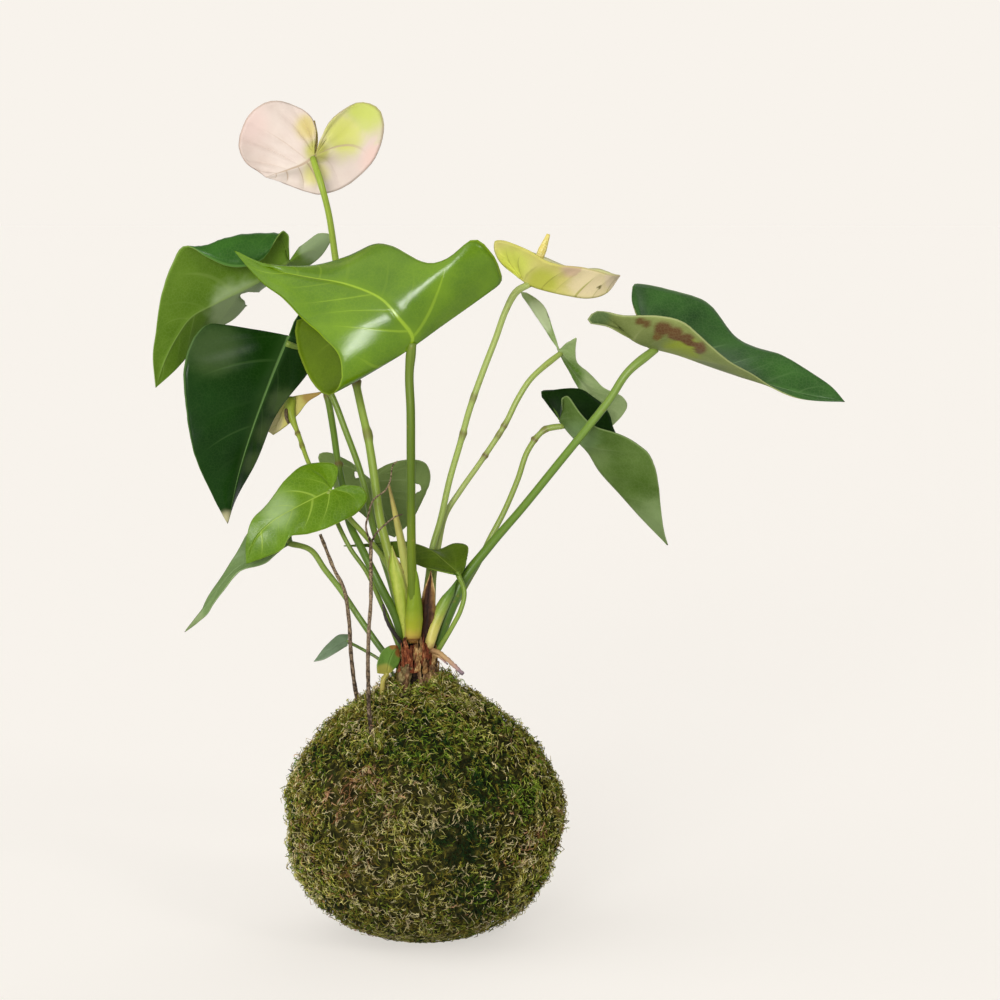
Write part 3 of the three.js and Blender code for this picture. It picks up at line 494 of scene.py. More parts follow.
# Each leaf's points in mm: midrib from the stalk to the tip, then both margins from the notch by the stalk.
# A margin point may add how far the blade bows and rises there. Each skin has its dark and light green and
# the colour of its veins. "show" says how clear the side veins, the midrib and the small net are. A patch is
# x, z, reach and colour, a hole is x, z and radius, and scars are heights on the stalk.
leaves = {
    "far_right": {
        "midrib": [
            (94, -14, 252), (106, -13, 249), (120, -12, 244), (135, -12, 239), (160, -13, 232),
            (176, -14, 229),
        ],
        "left": [
            (91, -8, 259), (89, 2, 267), (89, 10, 277), (96, 14, 277, -2), (112, 18, 272, -3),
            (121, 18, 268, -3), (133, 11, 255, -2), (142, 6, 250, -1), (151, 0, 247, -1), (170, -11, 236),
        ],
        "right": [
            (91, -20, 253), (84, -28, 258, -1), (76, -33, 262, -2), (68, -35, 263, -2), (70, -32, 267, -3),
            (75, -30, 268, -3), (83, -34, 266, -3), (98, -38, 265, -3), (107, -38, 263, -3),
            (119, -33, 254, -2), (128, -27, 246, -1), (137, -21, 240, -1), (145, -17, 235), (157, -15, 231),
        ],
        "stem": [
            (3.5, 1, 118), (5.5, 1, 124), (9.5, 1, 136), (16.5, 2, 151.5), (28.5, 0, 167.5),
            (41, -4, 182.5), (57.5, -9, 203.5), (70, -13, 219.5), (78, -15, 230), (85.5, -16, 241.5),
        ],
        "stemRadii": [2.2, 2.9, 2, 1.7, 1.7, 1.7, 1.7, 1.7], "slot": "dark_leaf", "roughness": 0.32,
        "shine": 0.3, "show": (0.35, 0.5, 0.4), "upper": ("#1c3c12", "#3a6424", "#84a468"),
        "under": ("#66723a", "#8a9454", "#b4ba80"), "patchEdge": (0.1, 0.8),
        "underPatches": [
            (99, 260.5, 3.4, "#5c3520"), (104, 258.5, 3.4, "#603824"), (109, 255.5, 3.6, "#5c3422"),
            (114, 252.5, 3.2, "#64402e"), (93, 262.5, 1.9, "#5a3a1c"), (89, 263.5, 1.6, "#5a3a1c"),
            (97, 257, 1.8, "#6a4a24"), (107, 250, 8, "#8a9630"), (71, 265, 7, "#4c6238"),
        ],
        "stalk": ["#4c6a1c", "#5f7c26", "#6c8832", "#849a46"],
    },
    "folded_right": {
        "midrib": [(58, 34, 248), (65, 40, 238), (72, 46, 228), (77, 49, 220), (82, 52, 214)],
        "left": [
            (55, 36, 257), (52, 38, 266), (48, 39, 270), (42, 40, 273), (46, 42, 267), (49, 43, 260),
            (55, 42, 253), (60, 42, 246, -1), (63, 45, 239, -1), (66, 49, 231, -1), (73, 53, 220),
        ],
        "right": [
            (61, 31, 251), (65, 28, 253), (65, 31, 249), (66, 35, 243, -1), (70, 38, 238, -2),
            (76, 40, 233, -2), (84, 43, 228, -2), (88, 47, 223, -1), (86, 50, 219),
        ],
        "stem": [
            (1, 5, 119.5), (2.5, 8, 125.5), (3.5, 12, 140), (4, 18, 152), (6, 22, 164.5), (9, 24, 177.5),
            (15.5, 25, 188), (24, 26, 200), (34.5, 27, 216), (40, 28, 227), (45.5, 29, 235.5),
            (52, 31, 241.5),
        ],
        "stemRadii": [1.5, 1.4, 1.3, 1.2, 1.3, 1.2], "slot": "leaf", "roughness": 0.45, "shine": 0.15,
        "show": (0.25, 0.4, 0.5), "upper": ("#748c48", "#9cae72", "#bcc898"),
        "under": ("#7c9254", "#a0b07c", "#bec89c"),
        "upperPatches": [(77, 226, 11, "#48681c"), (84, 222, 8, "#5a7a28")],
        "underPatches": [(60, 236, 9, "#4f7020"), (50, 262, 8, "#b0bc92")],
        "stalk": ["#9caa58", "#a4b064", "#9cac58"], "scars": [216, 212, 203],
    },
    "hanging_right": {
        "midrib": [
            (58, 14, 219), (63, 13, 213), (70, 12, 206), (75, 11, 198), (84, 10, 188), (92, 10, 179),
            (104, 11, 166),
        ],
        "left": [
            (57, 18, 222), (54, 22, 226), (50, 26, 230), (55, 30, 231, -1), (63, 34, 232, -2),
            (68, 36, 231, -2), (73, 37, 227, -2), (78, 37, 222, -2), (82, 35, 213, -2), (89, 31, 202, -2),
            (96, 23, 188, -1), (100, 15, 175),
        ],
        "right": [
            (59, 7, 224), (60, 2, 230), (65, -2, 225, -1), (72, -5, 219, -2), (81, -7, 215, -2),
            (89, -8, 211, -2), (95, -7, 207, -2), (98, -5, 201, -2), (99, -3, 194, -1), (100, 2, 185, -1),
            (102, 6, 175),
        ],
        "stem": [
            (2.5, 4, 117.5), (6, 6, 123.5), (10.5, 8, 135), (17.5, 9, 148.5), (24, 9, 160), (28, 9, 168.5),
            (34.5, 10, 181), (40, 11, 194), (44.5, 13, 206.5), (51.5, 14, 215),
        ],
        "stemRadii": [1.4, 1.4, 1.3, 1.2, 1.2, 1.2], "slot": "leaf", "roughness": 0.3, "shine": 0.08,
        "show": (0.2, 0.35, 0.4), "upper": ("#0a1e02", "#173208", "#3a6424"),
        "under": ("#425a1e", "#5c7238", "#8c9c68"), "patchEdge": (0, 1.3),
        "underPatches": [(99, 175, 14, "#7a8c5c"), (66, 212, 9, "#76905a"), (74, 204, 6, "#6a7e48")],
        "stalk": ["#7f9040", "#8a9a48", "#8f9e4c"], "scars": [215, 211],
    },
    "middle": {
        "midrib": [
            (-5.5, -21.5, 251), (-3.5, -24, 255.8), (-9, -27.8, 264.3), (-16, -26, 272.1),
            (-31, -18.5, 278), (-46, -11, 280.5), (-61, -4.5, 283.5), (-79, 2, 291.5),
        ],
        "left": [
            (-9, -15, 254.4), (-17, -7, 258.5), (-30.5, 2, 262), (-43, 6, 263), (-53, 6, 262),
            (-52, 1, 249), (-45, -8, 235.5), (-38, -17, 232), (-33, -24.5, 239, 1),
            (-33.5, -25.5, 248.5, 2), (-41, -22.5, 257, 2.5), (-49, -16, 263.3, 2), (-58, -9, 272, 2),
            (-66, -4.5, 277.5, 1.5), (-72, -2, 283.5, 1),
        ],
        "right": [
            (2, -19.5, 256.3), (7, -18.5, 260), (14, -17.7, 265.8), (24, -17, 273), (33, -17.5, 279.3),
            (28.5, -24, 291.7, 2), (22, -25, 296.7, 3), (11, -26, 288.8, 2), (3, -25, 286.8, 1),
            (-12, -14, 293.5, 1), (-19, -9, 294.4, 1), (-32, -2, 288.8, 1), (-46, -3, 285.2, 1),
            (-65, -3, 286, 1),
        ],
        "stem": [
            (-4.2, -8.8, 127.5), (-3.9, -9.8, 134), (-4, -12.5, 145.5), (-4.5, -15, 167),
            (-4.5, -17, 188.5), (-4.5, -19, 209.5), (-4.5, -20, 226), (-5, -20.5, 241),
        ],
        "stemRadii": [2.6, 2.4, 2.1, 2, 1.9, 1.9, 1.9, 1.9, 1.9, 1.9, 1.9], "ripple": 0,
        "slot": "bright_leaf", "roughness": 0.23, "shine": 0.55, "quilt": 0.11, "show": (0.35, 0.6, 0.3),
        "upper": ("#4c6e00", "#658700", "#a2be2a"), "under": ("#445800", "#566e00", "#8ea034"),
        "rolls": [(-27.8, 257.1, 26, 0.1, 2.2, 8.2), (-0.4, 264.1, 21.8, 1.3, 1.7, 10)],
        "stalk": ["#7a5428", "#5c7008", "#68790a", "#546a0c", "#5a7012", "#64781f", "#70822e"],
    },
    "top_left": {
        "midrib": [
            (-58, 32, 286), (-70, 30, 278), (-88, 24, 269), (-99, 20, 263), (-105, 18, 255),
            (-110, 16, 245), (-114, 15, 233),
        ],
        "left": [
            (-58, 27, 292), (-59, 22, 299, 0, 2), (-68, 16, 288, 0, 12), (-76, 13, 285, 0, 15),
            (-84, 12, 285, 0, 16), (-92, 11, 288, 0, 13), (-101, 12, 293, 0, 3), (-107, 11, 284),
            (-110, 11, 275), (-113, 13, 258), (-115, 14, 247),
        ],
        "right": [
            (-54, 36, 292), (-46, 38, 298), (-40, 40, 297), (-44, 42, 290), (-53, 43, 283), (-71, 45, 273),
            (-77, 45, 268), (-84, 41, 261), (-90, 36, 257), (-98, 28, 250), (-104, 22, 243),
        ],
        "stem": [
            (-8.5, -3, 121), (-11, -6, 136), (-18, -7, 151), (-25.5, -3, 165.5), (-31.5, 3, 177),
            (-34.5, 10, 192), (-36.5, 15, 200), (-39, 23, 214.5), (-42, 30, 229), (-48.5, 36, 252),
            (-54, 38, 269.5),
        ],
        "stemRadii": [1.8, 1.9, 1.6, 1.5, 1.5, 1.5, 1.5], "slot": "leaf", "roughness": 0.28, "shine": 0.25,
        "show": (0.3, 0.5, 0.5), "upper": ("#20460e", "#326018", "#6c9844"),
        "under": ("#4c6a16", "#648228", "#90a858"),
        # The first two under patches paint the pale grey look that the far half has in shade.
        "underPatches": [(-78, 264, 15, "#93a474"), (-66, 268, 10, "#9aaa80"), (-45, 294, 10, "#8a9a72")],
        "upperPatches": [(-44, 294, 9, "#8a9a72")], "holes": [(-75.5, 270, 3.6)],
        "stalk": ["#4c661c", "#5f7a28", "#7c903c"], "scars": [228, 200],
    },
    "hanging_left": {
        "midrib": [(-57, 14, 255), (-65, 8, 235), (-72, 4, 216), (-78, 3, 197), (-83, 4, 176)],
        "left": [
            (-55, 17, 261), (-52, 22, 266), (-44, 28, 260), (-43, 29, 248), (-50, 24, 239), (-57, 19, 230),
            (-63, 15, 220), (-69, 12, 208), (-75, 9, 195), (-79, 7, 186),
        ],
        "right": [
            (-64, 16, 256), (-74, 14, 257), (-84, 9, 260), (-90, 5, 261), (-96, 0, 255, 1),
            (-100, -5, 243, 2), (-99, -6, 227, 2), (-96, -4, 206, 2), (-89, 0, 189, 1),
        ],
        "stem": [
            (-6.5, 4, 119.5), (-9.5, 10, 131.5), (-14.5, 14, 150.5), (-19.5, 16, 165.5), (-22.5, 16, 176),
            (-25, 16, 189), (-28, 17, 199.5), (-33.5, 18, 214.5), (-39, 20, 228.5), (-45.5, 23, 240),
            (-51, 23, 247.5),
        ],
        "stemRadii": [1.4, 1.5, 1.4, 1.4, 1.4, 1.4], "slot": "dark_leaf", "roughness": 0.26, "shine": 0.14,
        "show": (0.12, 0.8, 0.15), "veins": 9, "patchEdge": (0.05, 1),
        "upper": ("#0c2a02", "#17380a", "#6a8c4c"), "under": ("#36541c", "#4c6c30", "#7a9458"),
        # The first four upper patches are painted sheen: a grey-green strip along the right margin and a grey
        # cloud near the top. The last, pale one is the dead tip.
        "upperPatches": [
            (-60, 226, 7, "#4c6034"), (-65, 214, 7, "#46592f"), (-71, 201, 6, "#42552c"),
            (-88, 250, 12, "#3a4f26"), (-83, 178, 4, "#b8b088"),
        ],
        "stalk": ["#5f7a24", "#748c34", "#7c903c"],
    },
    "heart": {
        "midrib": [
            (-38, -12, 192), (-47, -16, 188), (-55, -19, 184), (-62, -21, 180), (-69, -22, 173),
            (-73, -21, 162),
        ],
        "left": [
            (-33, -11, 194), (-26, -10, 193), (-23, -11, 189), (-27, -15, 183, 1), (-32, -18, 180, 1),
            (-39, -21, 177, 1), (-48, -24, 175, 1), (-54, -26, 174, 1), (-57, -25, 169), (-65, -23, 165),
        ],
        "right": [
            (-36, -9, 196), (-36, -6, 201), (-43, -6, 203), (-50, -8, 202, 1), (-57, -11, 196, 1),
            (-66, -17, 185, 1), (-71, -20, 179), (-73, -22, 171),
        ],
        "stem": [
            (-5, 5, 119.5), (-6.5, 6, 130), (-10, 6, 145), (-16.5, 6, 160), (-23.5, 1.5, 170),
            (-31, -5, 179.5),
        ],
        "stemRadii": [1.3, 1.2, 1.2, 1.2, 1.2], "slot": "bright_leaf", "roughness": 0.3, "shine": 0.32,
        "show": (0.45, 0.6, 0.5), "veins": 9, "upper": ("#4a6c00", "#608200", "#a4bc48"),
        "under": ("#587e10", "#6c9420", "#a4bc60"), "patchEdge": (0, 1.2),
        # The upper patch is a painted sheen, pale grey-green on the lower blade.
        "upperPatches": [(-60, 184, 8, "#8ca468")], "stalk": ["#8c9838", "#8d9e48", "#8a9c44"],
    },
    "narrow_left": {
        "midrib": [(-55, -6, 170), (-67, -9, 165), (-79, -12, 158), (-89, -13, 146), (-100, -12, 132)],
        "left": [
            (-57, -9, 168), (-65, -13, 162), (-74, -15, 159), (-80, -16, 154), (-85, -16, 149),
            (-89, -14, 141),
        ],
        "right": [
            (-56, -2, 175), (-65, -2, 178), (-73, -5, 174), (-78, -8, 165), (-85, -10, 155),
            (-92, -11, 142),
        ],
        "stem": [
            (-10, -3, 115.5), (-15.5, -5, 121), (-26.5, -3, 136), (-35, -1, 148.5), (-41.5, -1, 157),
            (-47.5, -2, 165.5),
        ],
        "stemRadii": [1.4, 1.4, 1.3, 1.3, 1.2], "slot": "leaf", "roughness": 0.42, "shine": 0.3,
        "show": (0.2, 0.4, 0.4), "upper": ("#546c34", "#6e8650", "#98aa74"),
        "under": ("#587838", "#7a9058", "#a0b080"), "upperPatches": [(-97, 136, 7, "#7c8c5a")],
        "underPatches": [(-97, 136, 7, "#7c8c5a")], "stalk": ["#46602a", "#76903a", "#8d9e48"],
    },
    "back": {
        "midrib": [(-24, 50, 190), (-21, 53, 181), (-17, 55, 172), (-14, 56, 164)],
        "left": [
            (-29, 50, 194), (-36, 51, 199), (-42, 52, 202), (-47, 52, 201), (-44, 53, 192), (-36, 54, 181),
            (-28, 55, 174), (-20, 56, 167),
        ],
        "right": [
            (-22, 50, 194), (-16, 51, 197), (-7, 52, 199), (0, 53, 197), (2, 54, 191), (-1, 55, 182),
            (-6, 56, 172), (-11, 56, 167),
        ],
        "stem": [(-3, 6, 119.5), (-4.5, 11, 129.5), (-9.5, 19, 143.5), (-14.5, 30, 157), (-19, 41, 173.5)],
        "stemRadii": [1.2, 1.2, 1.2, 1.1], "slot": "grey_leaf", "roughness": 0.5, "shine": 0.12,
        "show": (0.25, 0.3, 0.3), "holes": [(-5, 186, 2.6), (-30, 192, 1.6)],
        "upper": ("#66802a", "#829c44", "#a0ac64"), "under": ("#586a38", "#72844a", "#94a070"),
        "stalk": ["#667c30", "#728640", "#64783c"],
    },
    "small_folded": {
        "midrib": [(16, -6, 155), (10, -2, 160), (3, 3, 165), (-8, 8, 168), (-21, 9, 167), (-34, 8, 166)],
        "left": [
            (13, -8, 156), (7, -6, 157), (1, -2, 158), (-6, 3, 160), (-13, 6, 162), (-19, 8, 164),
            (-26, 8, 166),
        ],
        "right": [
            (18, -4, 159), (19, 1, 166), (18, 4, 167), (13, 8, 167), (6, 11, 164), (-5, 13, 165),
            (-19, 13, 165),
        ],
        "stem": [(3, -3, 118), (6.5, -6, 123.5), (12, -8, 133), (16, -9, 141), (17.5, -8, 148.5)],
        "stemRadii": [1.1, 1, 1, 1], "ripple": 0, "slot": "dark_leaf", "roughness": 0.4, "shine": 0.2,
        "show": (0.15, 0.4, 0.4), "upper": ("#384a00", "#506804", "#84923c"),
        "under": ("#3c5808", "#4f6c16", "#84983e"), "stalk": ["#647c30", "#84983c", "#6c842c"],
    },
    "tiny_left": {
        "midrib": [(-32, -2, 127), (-38, -6, 124), (-46, -9, 119)],
        "left": [(-32, -4, 125), (-38, -9, 122), (-42, -10, 120)],
        "right": [(-32, 1, 129), (-36, -1, 129), (-40, -4, 126), (-43, -7, 123)],
        "stem": [(-10.5, -3, 108.5), (-14, -3, 114.5), (-19, -2, 119), (-25, -1, 122.5)],
        "stemRadii": [0.7, 0.7], "ripple": 0, "slot": "grey_leaf", "roughness": 0.45, "shine": 0.15,
        "show": (0.2, 0.3, 0.3), "veins": 6, "upper": ("#586c4c", "#74866a", "#94a488"),
        "under": ("#6c7c60", "#84937a", "#a0ae94"), "stalk": ["#566c2c", "#6c8240"],
    },
    "tiny_crown": {
        "midrib": [(-15, -12, 114), (-14, -13, 120), (-11, -9, 126)],
        "left": [(-19, -15, 115), (-19, -16, 119), (-17, -14, 124), (-14, -11, 126)],
        "right": [(-13, -11, 115), (-10, -9, 119), (-10, -8, 123)],
        "stem": [(-17, -12, 103), (-17, -13, 108.5), (-16.5, -13, 112)], "stemRadii": [1.2, 1.1, 1],
        "ripple": 0, "slot": "leaf", "roughness": 0.45, "shine": 0.2, "show": (0.2, 0.3, 0.3), "veins": 6,
        "upper": ("#4c7020", "#688a38", "#90a860"), "under": ("#587a2c", "#729244", "#94ac6c"),
        "upperPatches": [
            (-10.5, 127, 3, "#7a3a1c"), (-9.5, 123, 2.4, "#8a5228"), (-12.5, 126, 1.8, "#94602c"),
            (-17, 114, 5, "#a8a048"),
        ],
        "underPatches": [(-11, 126, 4, "#7a3418"), (-13, 123, 3, "#8a5a28"), (-17, 114, 5, "#a8a048")],
        "stalk": ["#9a8444", "#b0a050", "#a8a048"],
    },
}

flowers = {
    "top": {
        "midrib": [(-46, 20, 331), (-51, 21, 327.5), (-58, 22, 325), (-67, 22, 322)],
        "left": [
            (-44, 22, 337), (-39, 24, 346, -1), (-33, 25, 351, -2), (-27, 26, 354, -2), (-20, 26, 352, -3),
            (-17, 25, 346, -3), (-18, 24, 336.5, -3), (-22, 24, 328, -3), (-32, 24, 319, -3),
            (-44, 23.5, 315, -2), (-53, 23, 317, -2), (-61, 22.6, 320, -0.5),
        ],
        "right": [
            (-46, 22.5, 338), (-47.5, 25, 347, -1), (-56, 28, 353, -2), (-65, 28, 354, -3),
            (-74, 27, 349, -3), (-78, 25, 339.5, -3), (-78, 24, 333, -3), (-75, 23, 328, -2),
            (-70.5, 22.3, 325, -0.5),
        ],
        "stem": [
            (-5.5, 1, 120), (-8, 1, 129), (-10, 0, 144), (-14, 1, 161), (-18.5, 5, 178.5), (-21, 9, 196),
            (-23.5, 13, 211), (-26.5, 17, 223.5), (-29.5, 20, 237), (-34, 24, 261.5), (-37.5, 22, 287),
            (-40, 16.5, 306.5), (-43, 14.5, 319),
        ],
        "spadix": [(-47, 23, 332), (-46.5, 26.5, 335), (-46.5, 30, 339), (-47, 32.5, 346)],
        "stemRadii": [1.8, 2, 2, 1.8, 1.7, 1.6, 1.4, 1.3], "spadixRadii": [1.3, 1.4, 1.3, 0.5],
        "slot": "pink_spathe", "spikeSlot": "spadix", "roughness": 0.5, "shine": 0.12,
        "show": (0.85, 0.9, 0.12), "veins": 7, "quilt": 1.4, "patchEdge": (0, 1.1),
        "upper": ("#c6b2a6", "#d6c8bc", "#b49c84"), "under": ("#c6b0a6", "#d6c6bc", "#ac9280"),
        "upperPatches": [
            (-45, 333, 6, "#a8a838"), (-34, 341, 11, "#c2c654"), (-25, 351, 13, "#b6c04c"),
            (-49, 343, 6, "#c8b870"), (-75, 345, 10, "#d8c0b6"), (-20, 329, 8, "#dcbcb0"),
            (-46, 324, 6, "#d4cc80"),
        ],
        "underPatches": [
            (-45, 333, 6, "#a8a838"), (-34, 341, 11, "#c2c654"), (-25, 351, 13, "#b6c04c"),
            (-71, 345, 9, "#d6bab2"),
        ],
        "spike": ("#b09a3c", "#dcc878"), "stalk": ["#a8ae48", "#869a3c", "#94a848", "#98ac38"],
        "scars": [235, 213],
    },
    "right": {
        "midrib": [(43, 10, 278), (48, 8, 276), (61, 4, 273), (70, 3, 272), (77, 4, 274), (83, 6, 281)],
        "left": [
            (40, 16, 280), (35, 22, 288), (34, 28, 292), (41, 34, 291), (52, 36, 287), (68, 32, 283),
            (78, 20, 282),
        ],
        "right": [
            (38, 6, 282), (31, 4, 290), (30, 4, 295), (34, 1, 296), (42, -6, 292), (51, -10, 288),
            (67, -9, 284), (77, -3, 282),
        ],
        "stem": [
            (-1.5, 2, 120), (-0.5, 4, 128.5), (0.5, 7, 141), (2, 11, 153), (3.5, 16, 164), (7, 17, 176),
            (11, 17, 193.5), (15.5, 17, 209), (19.5, 16, 223.5), (25.5, 15, 240.5), (30.5, 14, 253.5),
            (35, 12, 266), (39.5, 11, 274),
        ],
        "spadix": [(45, 11.5, 279), (49, 12, 288), (53, 14, 298)],
        "stemRadii": [1.5, 1.4, 1.4, 1.4, 1.4, 1.4], "spadixRadii": [1.8, 1.9, 1.8, 0.8],
        "slot": "green_spathe", "spikeSlot": "spadix", "roughness": 0.45, "shine": 0.2,
        "show": (0.75, 0.7, 0.4), "veins": 9, "quilt": 0.45, "patchEdge": (0.05, 0.95),
        "upper": ("#d0cc80", "#e0dca8", "#b8bc64"), "under": ("#d2c866", "#e6dc8c", "#a8a444"),
        "underPatches": [
            (37, 285, 9, "#e2e868"), (50, 278, 7, "#c6c84c"), (70, 279, 11, "#ecd8ae"),
            (80, 280, 7, "#ecd6b8"), (81, 283, 1.6, "#4a3418"), (74, 276.5, 1.6, "#3a2c14"),
            (63, 285, 6, "#d8b89c"),
        ],
        "spike": ("#d8c668", "#f0e49c"), "stalk": ["#8ca048", "#a0b05c", "#b0bc70"], "scars": [229, 213],
    },
    "withered": {
        "midrib": [(-57, 28, 228), (-60, 27, 224), (-62, 26, 219), (-65, 25, 212)],
        "left": [
            (-52, 29, 228), (-44, 28, 230), (-50, 28, 226), (-54, 26, 221), (-58, 24, 217), (-62, 24, 214),
        ],
        "right": [(-60, 31, 228), (-65, 32, 226), (-69, 31, 221), (-69, 29, 215)],
        "stem": [
            (-9, 1, 120), (-13.5, 1, 132), (-18.5, 0, 144), (-24, 0, 156), (-31, 1, 166), (-37, 4, 177.5),
            (-43, 8, 190), (-49, 13, 201), (-53.5, 20, 212), (-57.5, 25, 222),
        ],
        "spadix": [(-59, 24, 223), (-59, 22, 220), (-58, 22, 217)],
        "stemRadii": [1.2, 1.1, 1, 1, 1, 1, 1, 1, 2.6], "spadixRadii": [0.9, 0.8, 0.5], "ripple": 0,
        "slot": "dry_spathe", "spikeSlot": "dead_root", "roughness": 0.7, "shine": 0.1,
        "show": (0.5, 0.6, 0.3), "veins": 7, "upper": ("#b4ac50", "#cfc478", "#94963c"),
        "under": ("#a8a848", "#c0b868", "#8c9038"),
        "upperPatches": [(-47, 229, 6, "#9c7c44"), (-66, 217, 6, "#c4b888")],
        "underPatches": [(-46, 230, 4, "#9c8444"), (-66, 217, 6, "#c4b888")],
        "spike": ("#4a3a20", "#6a5834"), "stalk": ["#647c2c", "#788c34", "#9aa838"], "scars": [213, 208],
    },
}


spadix = {"sides": 16, "steps": 24}

print("leaves and flowers")
petioleSkin = stalkMaterial()
for seed, (name, leaf) in enumerate(leaves.items()):
    addBlade(f"leaf_{name}_blade", leaf, blade["thickness"], seed)
    addStalk(f"leaf_{name}_stem", leaf, stalk["leafSeat"], petioleSkin)
for seed, (name, flower) in enumerate(flowers.items(), 20):
    addBlade(f"flower_{name}_spathe", flower, blade["spatheThickness"], seed)
    addStalk(f"flower_{name}_stem", flower, stalk["flowerSeat"], petioleSkin)
    grid = tubeGrid(flower["spadix"], flower["spadixRadii"], spadix["sides"], spadix["steps"])
    spike = gridMesh(grid, "spikeMap", closed=True)
    knobs = spadixMaterial(f"{name}SpadixKnobs", flower["spike"])
    finishPiece(f"flower_{name}_spadix", spike, [knobs], [f"flower_{name}_spadix"])


ball = {
    "radius": 58.6, "widestHeight": 57, "lowerDepth": 58.1, "upperHeight": 53,
    "lowerRoundness": 2.4, "upperRoundness": 1.65,
    "lumpHeight": 1.4, "lumpTurns": (2.9, 1.5, 3.4),
    "lumpStart": 14, "lumpReach": (8, 30), "rim": 6,  # lumps fade out near the flat spot and the top
    "lowest": 0.4,  # height of any point of its skin
    # Felt under the strands: how deep it lies, its lumps' depth and fineness, and the heights they fade over.
    "inset": 2.2, "feltLumps": ((1.1, 0.11), (0.7, 0.33)), "feltStart": 1, "feltFade": 8,
}


# How far the ball's skin lies from its axis at a height.
def ballReach(height):
    below = height < ball["widestHeight"]
    depth = np.where(below, ball["lowerDepth"], ball["upperHeight"])
    roundness = np.where(below, ball["lowerRoundness"], ball["upperRoundness"])
    share = np.minimum(1, np.abs(height - ball["widestHeight"]) / depth)
    return ball["radius"] * (1 - share ** roundness) ** (1 / roundness)


def lumpAt(turn, height):
    first, second, third = ball["lumpTurns"]
    waves = np.sin(3 * turn + 0.09 * height + first) + np.sin(5 * turn - 0.13 * height + second)
    return (waves + np.sin(turn + 0.21 * height + third)) / 3


def smoothStep(low, high, value):
    share = np.clip((value - low) / (high - low), 0, 1)
    return share * share * (3 - 2 * share)


# Points of the ball's skin in the directions given, that is for points of a unit sphere.
def ballSkin(ways, inset=0.0):
    middle = ball["widestHeight"]
    depth = np.where(ways[:, 2] < 0, ball["lowerDepth"], ball["upperHeight"])
    height = middle + depth * ways[:, 2]
    turn = np.arctan2(ways[:, 1], ways[:, 0])
    flat = height < 0
    reach = ballReach(np.maximum(height, 0))
    level = np.hypot(ways[:, 0], ways[:, 1])
    cut = math.sqrt(1 - (middle / ball["lowerDepth"]) ** 2)
    reach = np.where(flat, reach * level / cut, reach)
    height = np.maximum(height, 0)
    fade = smoothStep(0, ball["lumpStart"], height) * smoothStep(*ball["lumpReach"], reach)
    reach = reach + ball["lumpHeight"] * lumpAt(turn, height) * fade - inset * (1 - flat)
    rim = smoothStep(0, ball["rim"], height)
    height = middle + (height - middle) * (1 - inset / middle * np.where(height > middle, 1, rim))
    reach = np.maximum(reach, 0)
    height = np.maximum(height, ball["lowest"])
    return np.stack([np.cos(turn) * reach, np.sin(turn) * reach, height], axis=1)


# Old moss felt under the living strands, quite matt and only seen through their gaps. Its very dark browns
# paint the deep shade between the strands as well as the felt's own colour.
def addFelt():
    felt = crumbMaterial("oldMossFeltAndShade", {"Roughness": 0.95, "Specular IOR Level": 0.05},
                         {"Scale": 320.0, "Detail": 6.0, "Roughness": 0.7},
                         [(0.34, "#0e0f06"), (0.52, "#343318"), (0.72, "#6e6828")], 0.9, 0.0015)
    bm = bmesh.new()
    bmesh.ops.create_icosphere(bm, subdivisions=5, radius=1)
    ways = unit(np.array([corner.co[:] for corner in bm.verts]))
    skin = ballSkin(ways, ball["inset"])
    for corner, way, spot in zip(bm.verts, ways, skin):
        rough = sum(depth * noise.noise(Vector(spot * fineness)) for depth, fineness in ball["feltLumps"])
        spot = spot + way * rough * min(1, max(0, spot[2] - ball["feltStart"]) / ball["feltFade"])
        corner.co = spot * mm
    for face in bm.faces:
        face.smooth = True
    finishPiece("moss_felt", bm, [felt], ["moss_cover"])


# The strands' colours in one row, from dark green over olive and fresh green to straw and brown.
mossColours = [
    (0.0, "#12240f"), (0.12, "#2a501c"), (0.2, "#6c5c20"), (0.33, "#a89838"), (0.47, "#6f9426"),
    (0.6, "#a4c03c"), (0.7, "#e4da70"), (0.84, "#fff0b4"), (0.93, "#e6aa7c"), (1.0, "#8c6034"),
]
mossGroups = {  # ranges of the colour row
    "dark": (0.0, 0.12), "brown": (0.2, 0.31), "olive": (0.31, 0.45), "green": (0.46, 0.62),
    "yellow": (0.64, 0.78), "straw": (0.8, 0.88), "rust": (0.9, 0.96), "bark": (0.97, 1.0),
}
commonMoss = {
    "dark": 0.06, "brown": 0.17, "olive": 0.3, "green": 0.08, "yellow": 0.24, "straw": 0.12, "rust": 0.02,
    "bark": 0.01,
}
